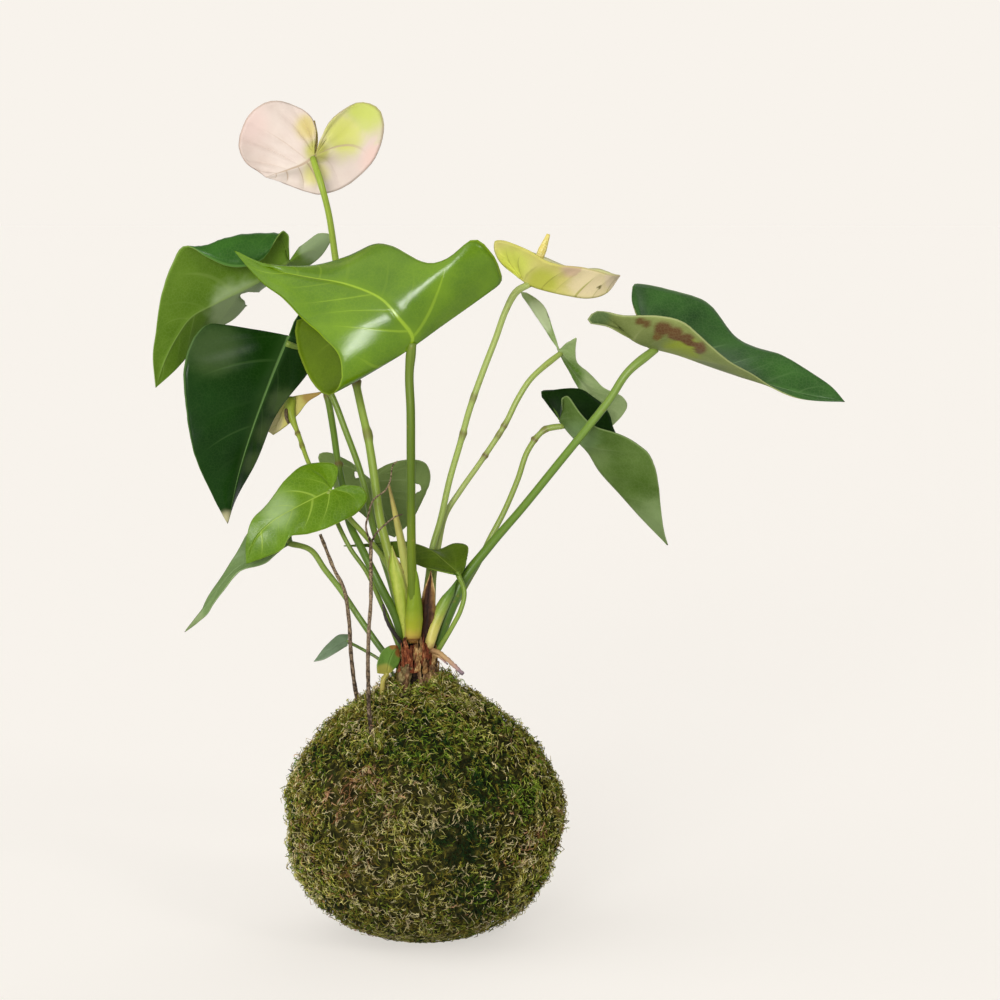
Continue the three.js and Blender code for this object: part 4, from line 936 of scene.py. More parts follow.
# Patches on the ball: x, y (-Y is the front), height, reach, then each colour group's share there.
mossPatches = [
    (0, -48, 92, 18, {"dark": 0.5, "green": 0.35, "olive": 0.15}),
    (26, -48, 77, 15, {"dark": 0.65, "green": 0.25, "olive": 0.1}),
    (-28, -40, 92, 8, {"dark": 0.5, "green": 0.35, "olive": 0.15}),
    (-50, -20, 82, 9, {"dark": 0.4, "olive": 0.4, "green": 0.2}),
    (-29, -48, 76, 11, {"rust": 0.35, "straw": 0.2, "brown": 0.25, "olive": 0.2}),
    (-34, -43, 70, 10, {"rust": 0.6, "straw": 0.2, "bark": 0.15, "brown": 0.15}),
    (4, -56, 64, 18, {"straw": 0.35, "yellow": 0.35, "olive": 0.2, "brown": 0.1}),
    (-24, -50, 44, 15, {"brown": 0.3, "straw": 0.4, "olive": 0.2, "bark": 0.1}),
    # This patch and the dark one at height 27 below it are dark moss together with painted shade low on the
    # front of the ball.
    (16, -54, 50, 13, {"dark": 0.9, "green": 0.05, "straw": 0.05}),
    (43, -36, 65, 10, {"green": 0.6, "dark": 0.2, "yellow": 0.2}),
    (42, -36, 46, 9, {"straw": 0.3, "brown": 0.35, "rust": 0.15, "olive": 0.2}),
    (22, -46, 27, 12, {"dark": 0.75, "straw": 0.1, "green": 0.15}),
    (-6, -50, 27, 15, {"straw": 0.3, "yellow": 0.2, "olive": 0.3, "brown": 0.2}),
    (25, -34, 100, 18, {"yellow": 0.45, "olive": 0.35, "green": 0.2}),
    (-44, -14, 100, 14, {"olive": 0.5, "yellow": 0.2, "brown": 0.3}),
    (30, 40, 80, 20, {"dark": 0.5, "green": 0.3, "olive": 0.2}),
    (-30, 45, 60, 18, {"straw": 0.3, "brown": 0.3, "olive": 0.4}),
    (0, 50, 40, 16, {"yellow": 0.35, "green": 0.35, "olive": 0.3}),
    (-20, 38, 95, 14, {"dark": 0.5, "olive": 0.5}),
    (50, 10, 40, 15, {"rust": 0.2, "brown": 0.4, "straw": 0.4}),
]

# Strands grow in tufts that lean one way. Each kind has its number of meshes, strands in each, how many of
# them stand round the feet of stems and twigs, length and thickness in mm, curl, how far its tips lift off
# the ball and arch, as shares of the length, and how deep its roots are in mm.
moss = {
    "skinReach": 58, "lowestWay": -0.975, "lowest": 0.15,  # how low a root's way and a strand may be
    "tufts": 2600, "tuftReach": 2.6, "tuftSpread": 0.6, "looseShare": 0.5, "looseReach": 3.0,
    "turnSpread": 0.65, "feetSpread": 0.7, "strandLight": (0.6, 1),
    "tuftLift": (0.4, 1.7), "tuftLight": (0.62, 0.94), "tuftColourShare": 0.6,
    "underLift": 0.12, "underHeight": 14,  # strands lie flat under the ball
    # Painted shade under the ball: strands below this height get darker, down to this share.
    "paintedUnderShade": 0.25, "paintedUnderShadeHeight": 28,
    "sprig": {
        "pieces": 3, "count": 2540, "atFeet": 300, "length": (2.4, 5.4), "width": (0.34, 0.56),
        "curl": 0.8, "lift": (0.05, 0.5), "arch": (0.05, 0.3), "inset": 1.2,
    },
    "strand": {
        "pieces": 3, "count": 8000, "atFeet": 450, "length": (1.4, 4.6), "width": (0.36, 0.64),
        "curl": 1.6, "lift": (0.0, 0.55), "arch": (0.05, 0.5), "inset": 0.9,
    },
    # Long sprigs that stand out: root x, y, z, then length, lift and colour.
    "strays": [
        (56.5, -8, 53, 5, 0.9, 0.7), (56.5, -10, 50, 4, 0.8, 0.5), (12, -9, 108, 5, 1.6, 0.55),
        (-56, -8, 66, 3, 0.9, 0.4), (55, -6, 45, 5, 0.9, 0.65), (-54, -10, 42, 4.5, 0.8, 0.7),
    ],
    "strayWidth": 0.75,
    # Feet of stems and twigs: x, y, z and how far the strands spread there.
    "feet": [
        (-27.5, -13.5, 99, 4), (-21, -38.5, 92, 3.5), (-17, -14, 103, 4), (10, -10, 104, 4),
        (12, -2, 104, 4), (9, 9, 105, 5), (-12, 9, 105, 5), (-16, -4, 104, 4),
    ],
    "feetLift": 2.6,
}


# Living and dried moss strands: matt, each of one colour, with painted shade that darkens it to near black
# towards its root. The map's U picks the strand's colour, and its V runs from the painted shade at the root
# to the tip.
def mossMaterial():
    made, tree = startMaterial("driedMossStrands", {"Roughness": 0.8, "Specular IOR Level": 0.12})
    flat = addNode(tree, "SeparateXYZ", {}, [addNode(tree, "UVMap", {"uv_map": "OFBake"})]).node
    ramp = addNode(tree, "ValToRGB", {}, {"Fac": flat.outputs["X"]})
    fillRamp(ramp, mossColours)
    # Painted shade: the colour darkens towards the root, where the strands shade each other.
    light = addNode(tree, "MapRange", {}, [flat.outputs["Y"], 0.0, 0.6, 0.06, 1.0])
    paintedRootShade = linearColour("#141106")
    mixed = addNode(tree, "Mix", colourMix, {"Factor": light, "A": paintedRootShade, "B": ramp})
    return dressSkin(made, mixed)


# One bare strand, 1 long and 1 thick: three sides, one bend and a closed tip.
def strandForm(bends=(0.5,)):
    bm = bmesh.new()
    bmesh.ops.create_cone(bm, cap_ends=True, segments=3, radius1=0.5, radius2=0.14, depth=1)
    bmesh.ops.translate(bm, verts=bm.verts, vec=(0, 0, 0.5))
    for height in bends:
        bmesh.ops.bisect_plane(bm, geom=bm.verts[:] + bm.edges[:] + bm.faces[:], plane_co=(0, 0, height),
                               plane_no=(0, 0, 1))
    return bm


# A sprig's small leaves, for a sprig that is 1 long and 1 thick.
sprigLeaves = {
    "count": 7, "spacing": 0.12, "aside": 2.1, "ahead": 0.9, "shrink": 0.05, "width": 0.42, "rise": 0.13,
}


# One moss sprig: a thin stem with small pointed leaves on both sides.
def sprigForm():
    spacing, width, rise = (sprigLeaves[key] for key in ("spacing", "width", "rise"))
    bm = strandForm((0.35, 0.7))
    for number in range(sprigLeaves["count"]):
        side = 1 if number % 2 else -1
        height = spacing + spacing * number
        lean = Vector((side * sprigLeaves["aside"], sprigLeaves["ahead"] * math.sin(number * 2.4), 0))
        lean = lean * (1 - sprigLeaves["shrink"] * number)
        made = bmesh.ops.create_cone(bm, cap_ends=True, segments=3, radius1=width, radius2=0, depth=1)
        for corner in made["verts"]:
            out = corner.co.z + 0.5
            beside, ahead = corner.co.y, corner.co.x
            corner.co = lean * out + Vector((0, beside, 0))
            corner.co.z = height + rise * out + ahead * rise
    return bm


def formArrays(bm):
    bmesh.ops.triangulate(bm, faces=bm.faces)
    bmesh.ops.recalc_face_normals(bm, faces=bm.faces)
    bm.verts.index_update()
    corners = np.array([corner.co[:] for corner in bm.verts])
    faces = np.array([[corner.index for corner in face.verts] for face in bm.faces])
    bm.free()
    return corners, faces


# Joins many strands in one mesh. Each runs from its root along its way, curls sideways and lifts off the
# ball.
def strandMesh(name, form, roots, ways, normals, lengths, widths, curls, lifts, shades, lights, material):
    corners, faces = form
    count, each = len(roots), len(corners)
    share = corners[:, 2][None, :]
    swing = np.where(np.abs(curls) < 0.05, 0.05, curls)[:, None]
    beside = np.cross(normals, ways)
    sine, cosine = np.sin(swing * share)[:, :, None], np.cos(swing * share)[:, :, None]
    rise = (lifts[:, 0:1] * share + lifts[:, 1:2] * 4 * share * (1 - share))[:, :, None]
    swing = swing[:, :, None]
    ways, beside, normals = ways[:, None], beside[:, None], normals[:, None]
    path = sine / swing * ways + (1 - cosine) / swing * beside + rise * normals
    centre = roots[:, None] + lengths[:, None, None] * path
    turned = -sine * ways + cosine * beside
    across = corners[None, :, 0:1] * turned + corners[None, :, 1:2] * normals
    spots = centre + widths[:, None, None] * across
    spots[:, :, 2] = np.maximum(spots[:, :, 2], moss["lowest"])
    index = (faces[None] + (np.arange(count) * each)[:, None, None]).reshape(-1)
    mesh = bpy.data.meshes.new(name)
    mesh.vertices.add(count * each)
    mesh.vertices.foreach_set("co", (spots * mm).astype(np.float32).ravel())
    mesh.loops.add(len(index))
    mesh.loops.foreach_set("vertex_index", index.astype(np.int32))
    mesh.polygons.add(len(index) // 3)
    mesh.polygons.foreach_set("loop_start", np.arange(0, len(index), 3, dtype=np.int32))
    mesh.update(calc_edges=True)
    layer = mesh.uv_layers.new(name="OFBake")
    onStrand = np.tile(np.clip(corners[faces.ravel()][:, 2], 0, 1), count) * 0.96 + 0.02
    # Strands low on the ball are darker, a painted shade under it. Tufts and strands also differ in
    # brightness at random.
    under = np.clip(roots[:, 2] / moss["paintedUnderShadeHeight"], moss["paintedUnderShade"], 1) ** 0.7
    fade = lights * dice.uniform(*moss["strandLight"], count) * under
    flat = np.stack([np.repeat(shades, faces.size), onStrand * np.repeat(fade, faces.size)], axis=1)
    layer.data.foreach_set("uv", flat.astype(np.float32).ravel())
    mesh.polygons.foreach_set("use_smooth", np.ones(len(index) // 3, bool))
    placePiece(name, mesh, [material])


# Each strand's place in the colour row, picked for where it grows.
def pickShades(spots, tuftShade):
    groups = list(mossGroups)
    weights = np.tile([commonMoss[group] for group in groups], (len(spots), 1))
    for x, y, z, reach, mix in mossPatches:
        near = np.exp(-(np.linalg.norm(spots - np.array([x, y, z]), axis=1) / reach) ** 3)[:, None]
        weights = weights * (1 - near) + near * np.array([mix.get(group, 0) for group in groups])
    weights = weights / weights.sum(axis=1, keepdims=True)
    steps = np.cumsum(weights, axis=1)
    asTuft = dice.random(len(spots)) < moss["tuftColourShare"]
    chance = np.where(asTuft, tuftShade, dice.random(len(spots)))
    picked = np.minimum((chance[:, None] > steps).sum(axis=1), len(groups) - 1)
    ranges = np.array([mossGroups[group] for group in groups])[picked]
    return np.clip(ranges[:, 0] + dice.random(len(spots)) * (ranges[:, 1] - ranges[:, 0]), 0.005, 0.995)


# How the ball's skin faces at some points, and two ways that lie in it.
def skinFrame(ways, inset):
    skin = ballSkin(ways, inset)
    near = ballSkin(unit(ways + [0, 0, 0.02]), inset)
    level = np.stack([-ways[:, 1], ways[:, 0], np.zeros(len(ways))], axis=1)
    normals = unit(np.cross(unit(level), unit(near - skin)))
    normals *= np.sign((normals * (skin - [0, 0, ball["widestHeight"]])).sum(axis=1))[:, None]
    first = unit(np.cross(normals, [0.1, 0.2, 1.0]))
    return skin, normals, first, np.cross(normals, first)


# Where strands grow, as directions from the ball's middle: in tufts, and the first ones round the feet.
def growWays(look, tufts, tuft):
    count, atFeet = look["count"], look["atFeet"]
    loose = dice.random(count) < moss["looseShare"]
    scatter = np.where(loose, moss["looseReach"], 1.0) * moss["tuftReach"] / moss["skinReach"]
    ways = tufts[tuft] + dice.normal(size=(count, 3)) * scatter[:, None] * moss["tuftSpread"]
    feet = unit(np.array([(x, y, z - ball["widestHeight"]) for x, y, z, _ in moss["feet"]], float))
    foot = dice.integers(0, len(feet), atFeet)
    spread = np.array([place[3] for place in moss["feet"]])[foot] / moss["skinReach"]
    ways[:atFeet] = feet[foot] + dice.normal(size=(atFeet, 3)) * spread[:, None] * moss["feetSpread"]
    ways = unit(ways)
    ways[:, 2] = np.maximum(ways[:, 2], moss["lowestWay"])
    return unit(ways)


def addMoss():
    material = mossMaterial()
    tufts = unit(dice.normal(size=(moss["tufts"], 3)))
    tuftSpin = dice.random(moss["tufts"]) * 2 * np.pi
    tuftLift = dice.uniform(*moss["tuftLift"], moss["tufts"])
    tuftShade = dice.random(moss["tufts"])
    tuftLight = dice.uniform(*moss["tuftLight"], moss["tufts"])
    strays = np.array(moss["strays"])
    for kind, form in (("sprig", formArrays(sprigForm())), ("strand", formArrays(strandForm()))):
        look = moss[kind]
        count = look["count"]
        for part in range(look["pieces"]):
            tuft = dice.integers(0, len(tufts), count)
            skin, normals, first, second = skinFrame(growWays(look, tufts, tuft), look["inset"])
            spin = tuftSpin[tuft] + dice.normal(0, moss["turnSpread"], count)
            along = np.cos(spin)[:, None] * first + np.sin(spin)[:, None] * second
            lengths = dice.uniform(*look["length"], count)
            widths = dice.uniform(*look["width"], count)
            curls = dice.normal(0, look["curl"], count)
            strength = tuftLift[tuft]
            strength[:look["atFeet"]] = moss["feetLift"]
            lifts = np.stack([dice.uniform(*look[way], count) for way in ("lift", "arch")], axis=1)
            lifts *= (strength * np.clip(skin[:, 2] / moss["underHeight"], moss["underLift"], 1))[:, None]
            shades = pickShades(skin, tuftShade[tuft])
            if kind == "sprig" and part == 0:
                last = slice(count - len(strays), count)
                skin[last], lengths[last], lifts[last, 0], shades[last] = strays[:, :3], *strays[:, 3:].T
                normals[last] = unit(strays[:, :3] - [0, 0, ball["widestHeight"]])
                widths[last] = moss["strayWidth"]
            name = f"moss_{kind}s_{part + 1}"
            strandMesh(name, form, skin, along, normals, lengths, widths, curls, lifts, shades,
                       tuftLight[tuft], material)


print("moss ball")
addFelt()
addMoss()


# The crown is what is left of old stalks and roots: a near-black core, whose colour is old rhizome and
# painted shade deep in the crown, root columns round it, torn papery sheaths on top and pale nodules of new
# roots. Turns are in degrees from the front, negative to the left.
crown = {
    "centre": (-2.6, -2.2), "foot": 90, "top": 127,
    "coreRadius": 6, "coreSides": 40, "coreSteps": 60, "coreKnobs": 0.5,
    "columnSides": 18, "columnSteps": 54, "columnKnobs": 1.0, "columnDrift": 6,
    # How far the columns spread from their ring at a height, and at their tops.
    "columnSpread": [(92, 2.4), (103, 1.1), (110, 0.4), (117, 0.1)], "columnTopSpread": -1.4,
    # Each column: turn, radius of the ring it stands on, its radius at the foot and the top, and its height.
    "columns": [
        (-50, 6.9, 2.9, 2.5, 125), (56, 6.5, 2.4, 2.0, 125), (-86, 6.6, 2.2, 2.0, 125),
        (92, 6.4, 2.2, 1.8, 124), (-125, 6.4, 2.6, 1.7, 122), (130, 6.6, 2.4, 1.9, 124),
        (165, 6.5, 2.4, 1.7, 122), (-160, 6.2, 2.3, 1.8, 123), (-27, 6.6, 1.2, 0.9, 119),
        (31, 6.4, 1.0, 0.8, 118), (9, 5.9, 0.8, 1.0, 117), (-38, 8.2, 1.1, 0.9, 116),
    ],
    "mossyColumns": (0, 2, 5, 8),
    "shreds": 96, "shredRows": 12, "shredColumns": 6, "shredThickness": 0.25,
    "frontShreds": {"turn": (-45, 42), "low": (114, 122), "reach": (7.4, 9.8)},
    "sideShreds": {"turn": (48, 180), "low": (108, 119), "reach": (6.8, 8.6)},
    "shredHeight": (4, 10), "shredWidth": (0.8, 3.6), "shredFlare": (-2.4, 1.4),
    # Each nodule: x, y, height and radius.
    "nodules": [
        (-2, -9.6, 119.4, 1.2), (-5.4, -9.3, 118.2, 1.0), (1.2, -9.3, 120.4, 0.9), (-7.5, -8.6, 114, 1.3),
        (3.4, -8.2, 113.5, 1.0), (-3.8, -9.2, 121.6, 0.7), (5.2, -6.2, 121, 1.0), (-9.8, -6.4, 121, 1.2),
    ],
}


# Old rhizome and roots: corky skin torn in fibres that run up it, a little over 1 mm apart.
def corkMaterial(name, dark, middle, light):
    made, tree = startMaterial(name, {"Roughness": 0.8, "Specular IOR Level": 0.2})
    place = addNode(tree, "TexCoord").node.outputs["Object"]
    stretched = addNode(tree, "Mapping", {}, {"Vector": place, "Scale": (800.0, 800.0, 240.0)})
    grain = {"Vector": stretched, "Scale": 1.0, "Detail": 5.0, "Roughness": 0.65}
    fibres = addNode(tree, "TexNoise", {}, grain)
    ramp = addNode(tree, "ValToRGB", {}, {"Fac": fibres})
    fillRamp(ramp, [(0.34, dark), (0.5, middle), (0.66, light)])
    blot = addNode(tree, "TexNoise", {}, {"Vector": place, "Scale": 260.0, "Detail": 3.0})
    share = addNode(tree, "MapRange", {}, [blot, 0.45, 0.65, 0.0, 0.7])
    colour = addNode(tree, "Mix", colourMix, {"Factor": share, "A": ramp, "B": linearColour(dark)})
    return dressSkin(made, colour, fibres, 0.9, 0.0008)


# A point beside the crown's middle line: turn in degrees from the front, reach in mm.
def besideCrown(turn, reach, height):
    x, y = crown["centre"]
    return x + math.sin(math.radians(turn)) * reach, y - math.cos(math.radians(turn)) * reach, height


# The shape of a tube with irregular knobs.
def knobby(seed, depth):
    def shape(share, turns):
        rounds = [(math.cos(turn) * 1.1, math.sin(turn) * 1.1) for turn in turns]
        return np.array([1 + depth * noise.noise(Vector((x, y, share * 15 + seed))) for x, y in rounds])
    return shape


def addTubes(name, grids, material, replaced=()):
    finishPiece(name, joinGrids(grids, "stalkMap", closed=True), [material], replaced)


def addCore(material):
    x, y = crown["centre"]
    route = [(x, y, crown["foot"]), (x, y, 102), (x - 0.3, y, 114), (x - 0.6, y - 0.4, crown["top"])]
    radii = [crown["coreRadius"] * share for share in (0.9, 1, 1.05, 0.9, 0.5)]
    grid = tubeGrid(route, radii, crown["coreSides"], crown["coreSteps"], knobby(3, crown["coreKnobs"]))
    addTubes("crown_core", [grid], material, ["crown"])


def addColumns(cork, mossy):
    bare, grown = [], []
    for number, (turn, ring, low, high, top) in enumerate(crown["columns"]):
        steps = crown["columnSpread"] + [(top, crown["columnTopSpread"])]
        route = []
        for height, spread in steps:
            drift = dice.normal(0, crown["columnDrift"])
            route.append(besideCrown(turn + drift, ring + spread, height))
        radii = [low, low, (low + high) / 2, high, high * 0.9, high * 0.4]
        shape = knobby(number * 5, crown["columnKnobs"])
        kind = grown if number in crown["mossyColumns"] else bare
        kind.append(tubeGrid(route, radii, crown["columnSides"], crown["columnSteps"], shape))
    addTubes("crown_columns", bare, cork)
    addTubes("crown_mossy_columns", grown, mossy)


# A torn strip of old sheath that wraps the crown and curls outwards at its ragged top.
def shredGrid(turn, low, high, reach, width, flare):
    rows, columns = crown["shredRows"], crown["shredColumns"]
    grid = np.zeros((rows + 1, columns + 1, 3))
    for i in range(rows + 1):
        share = i / rows
        for j in range(columns + 1):
            aside = 2 * j / columns - 1
            frayed = 1 - 0.75 * share ** 2 + 0.25 * noise.noise(Vector((i * 0.7, turn, j)))
            bent = reach + flare * share ** 2.5 + 0.8 * noise.noise(Vector((j * 0.6 + turn, share * 4, 2)))
            torn = 1.6 * noise.noise(Vector((j * 0.9, turn * 0.1, 7)))
            height = low + (high - low + torn) * share
            grid[i, j] = besideCrown(turn + aside * width * frayed / reach * 28, bent, height)
    return grid


def addShreds(papers):
    for part, material in enumerate(papers):
        grids = []
        for number in range(crown["shreds"] // len(papers)):
            front = number % (3 + 3 * part) == 0
            place = crown["frontShreds" if front else "sideShreds"]
            side = 1 if front else dice.choice([-1, 1])
            turn = side * dice.uniform(*place["turn"])
            low = dice.uniform(*place["low"])
            high = low + dice.uniform(*crown["shredHeight"])
            reach = dice.uniform(*place["reach"])
            width = dice.uniform(*crown["shredWidth"])
            flare = dice.uniform(*crown["shredFlare"])
            grids.append(shredGrid(turn, low, high, reach, width, flare))
        piece = finishPiece(f"crown_shreds_{part + 1}", joinGrids(grids, "sheathMap"), [material])
        addWall(piece, crown["shredThickness"])


def addNodules(material):
    whole = bmesh.new()
    for x, y, z, radius in crown["nodules"]:
        made = bmesh.ops.create_icosphere(whole, subdivisions=3, radius=radius * mm)["verts"]
        for corner in made:
            rough = 1 + 0.7 * noise.noise(corner.co * 900 + Vector((x, y, z)))
            corner.co = corner.co * rough + Vector((x, y, z)) * mm
    for face in whole.faces:
        face.smooth = True
    finishPiece("crown_nodules", whole, [material])


print("crown")
# The core's near-black browns paint the shade inside the crown.
addCore(corkMaterial("rhizomeCoreAndShade", "#0e0906", "#20140d", "#3a2416"))
addColumns(corkMaterial("rootColumnCork", "#3a2416", "#7d5c3c", "#b5966a"),
           corkMaterial("mossyRootCork", "#3c3118", "#857248", "#b0a070"))
addShreds([corkMaterial("redSheathShreds", "#3a180d", "#7a3c20", "#b87c50"),
           corkMaterial("tanSheathShreds", "#4c2f1c", "#96703f", "#c9ab74")])
addNodules(corkMaterial("rootNoduleCork", "#4c3620", "#967448", "#c4aa78"))


# A skin whose colours run along its map. Flecks shift them by a share of the map and lift its bumps.
def rampMaterial(name, mapName, skin):
    made, tree = startMaterial(name, skin["finish"])
    flat = addNode(tree, "SeparateXYZ", {}, [addNode(tree, "UVMap", {"uv_map": mapName})]).node
    place = addNode(tree, "TexCoord").node.outputs["Object"]
    grain = {"Vector": place, "Scale": skin.get("flecks", 500.0), "Detail": 4.0}
    fleck = addNode(tree, "TexNoise", {}, grain)
    shift = skin.get("shift", 0.25)
    moved = addNode(tree, "Math", multiplyAdd, [fleck, shift, -shift / 2])
    level = addNode(tree, "Math", add, [flat.outputs[skin.get("axis", "Y")], moved])
    ramp = addNode(tree, "ValToRGB", {}, {"Fac": level})
    fillRamp(ramp, skin["colours"])
    return dressSkin(made, ramp, fleck, 0.5, 0.0004)


# Papery or juicy sheaths: strips of a tube, open along one side, that narrow to a point. The middle of the
# strip and the opening are turns round the stalk in radians.
sheathForm = {"thickness": 0.3, "rows": 40, "columns": 22, "taper": 2.2, "tipWidth": 0.12}
sheaths = {
    "leaf_middle_sheath": {
        "route": [
            (-4.3, -8.6, 128.6), (-3.9, -9.8, 135), (-3.5, -11.4, 143), (-3.7, -13, 153), (-4.2, -14.3, 163),
        ],
        "radii": [3.2, 3.7, 2.9, 2.2, 1.9], "opening": 0.6, "middle": -1.6, "crease": 0.05, "slot": "stem",
        "material": "middleSheathSkin", "finish": {"Roughness": 0.35, "Specular IOR Level": 0.35},
        "shift": 0.06, "colours": [
            (0.0, "#7a4e28"), (0.06, "#a89434"), (0.16, "#94981c"), (0.4, "#74880c"), (1.0, "#6c8812"),
        ],
    },
    "spear_sheath": {
        "route": [
            (-6.4, -5, 127), (-7.8, -6, 136), (-9, -6.6, 145), (-10.2, -6.8, 154), (-12.5, -6.8, 168),
        ],
        "radii": [1.8, 2.4, 3.3, 3.9, 1.2], "opening": 1.4, "middle": -1.9, "crease": 0.2, "slot": "stem",
        "material": "spearSheathSkin", "finish": {"Roughness": 0.4, "Specular IOR Level": 0.3},
        "shift": 0.22, "axis": "X", "colours": [
            (0.0, "#6b4a2c"), (0.1, "#8f8a3a"), (0.3, "#7f9422"), (0.5, "#a8b048"), (0.68, "#8c9c2c"),
            (0.85, "#a8a858"), (1.0, "#7a6034"),
        ],
    },
    "far_right_sheath": {
        "route": [(2.2, -6, 124), (3.4, -5.8, 129), (5.8, -4.6, 136.5), (9.2, -3, 144), (14, -1.6, 153)],
        "radii": [2.0, 2.5, 2.9, 2.6, 1.0], "opening": 1.8, "middle": -1.3, "crease": 0.08, "slot": "stem",
        "material": "farRightSheathSkin", "finish": {"Roughness": 0.4, "Specular IOR Level": 0.35},
        "shift": 0.12, "colours": [
            (0.0, "#9c7c48"), (0.12, "#c8ba64"), (0.35, "#b4b050"), (0.55, "#84983a"), (0.8, "#5a7a26"),
            (1.0, "#4c6c20"),
        ],
    },
    "dry_sheath": {
        "route": [(0.3, -2.6, 120.5), (1.4, -4, 128), (2.2, -4.6, 137), (2.4, -4.6, 147), (3.4, -3.6, 157)],
        "radii": [2.4, 3.1, 3.2, 2.6, 1.2], "opening": 1.9, "middle": -1.5, "crease": 0.3,
        "slot": "dry_sheath", "replaced": ["dry_sheath"], "material": "drySheathPaper",
        "finish": {"Roughness": 0.7, "Specular IOR Level": 0.2}, "shift": 0.3, "axis": "X", "colours": [
            (0.0, "#c9a870"), (0.1, "#9a7444"), (0.25, "#4a2c1a"), (0.45, "#20120a"), (0.62, "#4e3220"),
            (0.8, "#94703f"), (1.0, "#cdb07c"),
        ],
    },
}


def sheathGrid(sheath):
    steps, sides = sheathForm["rows"], sheathForm["columns"]
    radii, middle = sheath["radii"], sheath["middle"]
    tube = tubeGrid(sheath["route"], radii, 96, steps)
    centre = tube[:, :-1].mean(axis=1)
    grid = np.zeros((steps + 1, sides + 1, 3))
    for i in range(steps + 1):
        share = i / steps
        wide = (2 * math.pi - sheath["opening"]) * (1 - share ** sheathForm["taper"]) * 0.5
        wide = wide + sheathForm["tipWidth"]
        radius = np.interp(share, np.linspace(0, 1, len(radii)), radii)
        for j in range(sides + 1):
            turn = middle + (2 * j / sides - 1) * wide
            way = np.array([math.cos(turn), math.sin(turn), 0.0])
            crease = 1 + sheath["crease"] * noise.noise(Vector((j * 0.45, i * 0.12, middle)))
            grid[i, j] = centre[i] + way * radius * crease
    return grid


def addSheaths():
    for name, sheath in sheaths.items():
        skin = rampMaterial(sheath["material"], "sheathMap", sheath)
        bm = gridMesh(sheathGrid(sheath), "sheathMap")
        piece = finishPiece(name, bm, [skin], sheath.get("replaced", ()))
        addWall(piece, sheathForm["thickness"])


# Bark and root skin: rings and ridges that twist along it. Heights are shares of the radius.
bark = {
    "rings": 9, "ringHeight": 0.12, "ridges": 5, "ridgeHeight": 0.08, "twist": 30,
    "waves": 61, "waveHeight": 0.1,
}


def barkShape(share, turns):
    rings = bark["ringHeight"] * math.exp(-((share * bark["rings"] % 1) - 0.5) ** 2 / 0.01)
    ridges = bark["ridgeHeight"] * np.sin(bark["ridges"] * turns + bark["twist"] * share)
    return 1 + rings + ridges + bark["waveHeight"] * math.sin(share * bark["waves"])


# Round pieces at the crown and in the moss. Each branch is a route, radii, sides and steps.
twigRadii, tendrilRadii = [0.9, 0.8, 0.7], [0.45, 0.35, 0.25]
barkSkin = {
    "material": "dryTwigBark", "finish": {"Roughness": 0.85, "Specular IOR Level": 0.2}, "shift": 2.2,
    "flecks": 800.0, "colours": [
        (0.0, "#2a2018"), (0.3, "#5c4c3a"), (0.5, "#8a7660"), (0.62, "#3e3024"), (0.8, "#9a8668"),
        (1.0, "#4c3e2e"),
    ],
}
rodParts = {
    "new_leaf_spear": {
        "slot": "spear", "shape": None, "branches": [([
            (-4, -2, 120.5), (-4.5, -3, 130.5), (-6, -6, 149), (-8, -9, 164.5), (-10.5, -10, 177.5),
            (-12.5, -11, 187), (-14, -11, 194)], [2, 2.4, 2.1, 1.5, 0.5], 16, 60)],
        "material": "youngSheathSkin", "finish": {"Roughness": 0.45, "Specular IOR Level": 0.3},
        "colours": [
            (0.0, "#cfc06a"), (0.3, "#a8a850"), (0.6, "#a0a450"), (0.85, "#a89c50"), (1.0, "#84703c"),
        ],
    },
    "aerial_root": {
        "slot": "root", "shape": barkShape, "branches": [
            ([(2, -6, 123.5), (6, -8, 123), (11.5, -10, 119), (17, -12, 114)], [1.1, 1, 0.8], 12, 40),
            ([(3, -5.5, 121.8), (6.5, -7.6, 121), (10.5, -9.4, 117.8)], [0.7, 0.6, 0.3], 9, 24),
        ],
        "material": "aerialRootSkin", "finish": {"Roughness": 0.7}, "shift": 0.3,
        "colours": [
            (0.0, "#7a5230"), (0.4, "#b08e5c"), (0.75, "#a88474"), (0.93, "#8a747a"), (1.0, "#4a4044"),
        ],
    },
    "dead_root": {
        "slot": "dead_root", "shape": barkShape, "branches": [([
            (-7, -5, 124), (-9, -8, 126.5), (-11, -11, 130), (-13.5, -13, 134), (-15.5, -14, 138.5),
            (-16.5, -14, 144)], [0.9, 0.8, 0.5], 12, 40)],
        "material": "deadRootSkin", "finish": {"Roughness": 0.7},
        "colours": [(0.0, "#2e2016"), (0.5, "#1f1a16"), (1.0, "#3a322a")],
    },
    "twig_left": {
        "slot": "twig", "shape": barkShape, **barkSkin, "branches": [([
            (-27, -9, 97), (-28, -10, 104), (-30, -11, 120), (-31, -11, 137), (-33, -11, 150),
            (-37, -10, 158), (-43, -9, 173)], twigRadii, 12, 90)],
    },
    "twig_front": {
        "slot": "twig", "shape": barkShape, **barkSkin, "branches": [
            ([(-20, -36, 90), (-21, -35, 95), (-22, -33, 111), (-22, -31, 131), (-21, -29, 148),
              (-21, -27, 164), (-21, -26, 172)], twigRadii, 12, 90),
            ([(-21, -26, 171), (-23, -26, 178), (-22, -25, 183), (-20, -24, 189), (-15, -23, 193),
              (-13, -22, 197), (-12, -21, 203), (-10, -21, 205)], tendrilRadii, 10, 50),
            ([(-21, -26, 171), (-19, -26, 175), (-15, -25, 179), (-11, -24, 182), (-8, -23, 183)],
             tendrilRadii, 10, 30),
        ],
    },
}


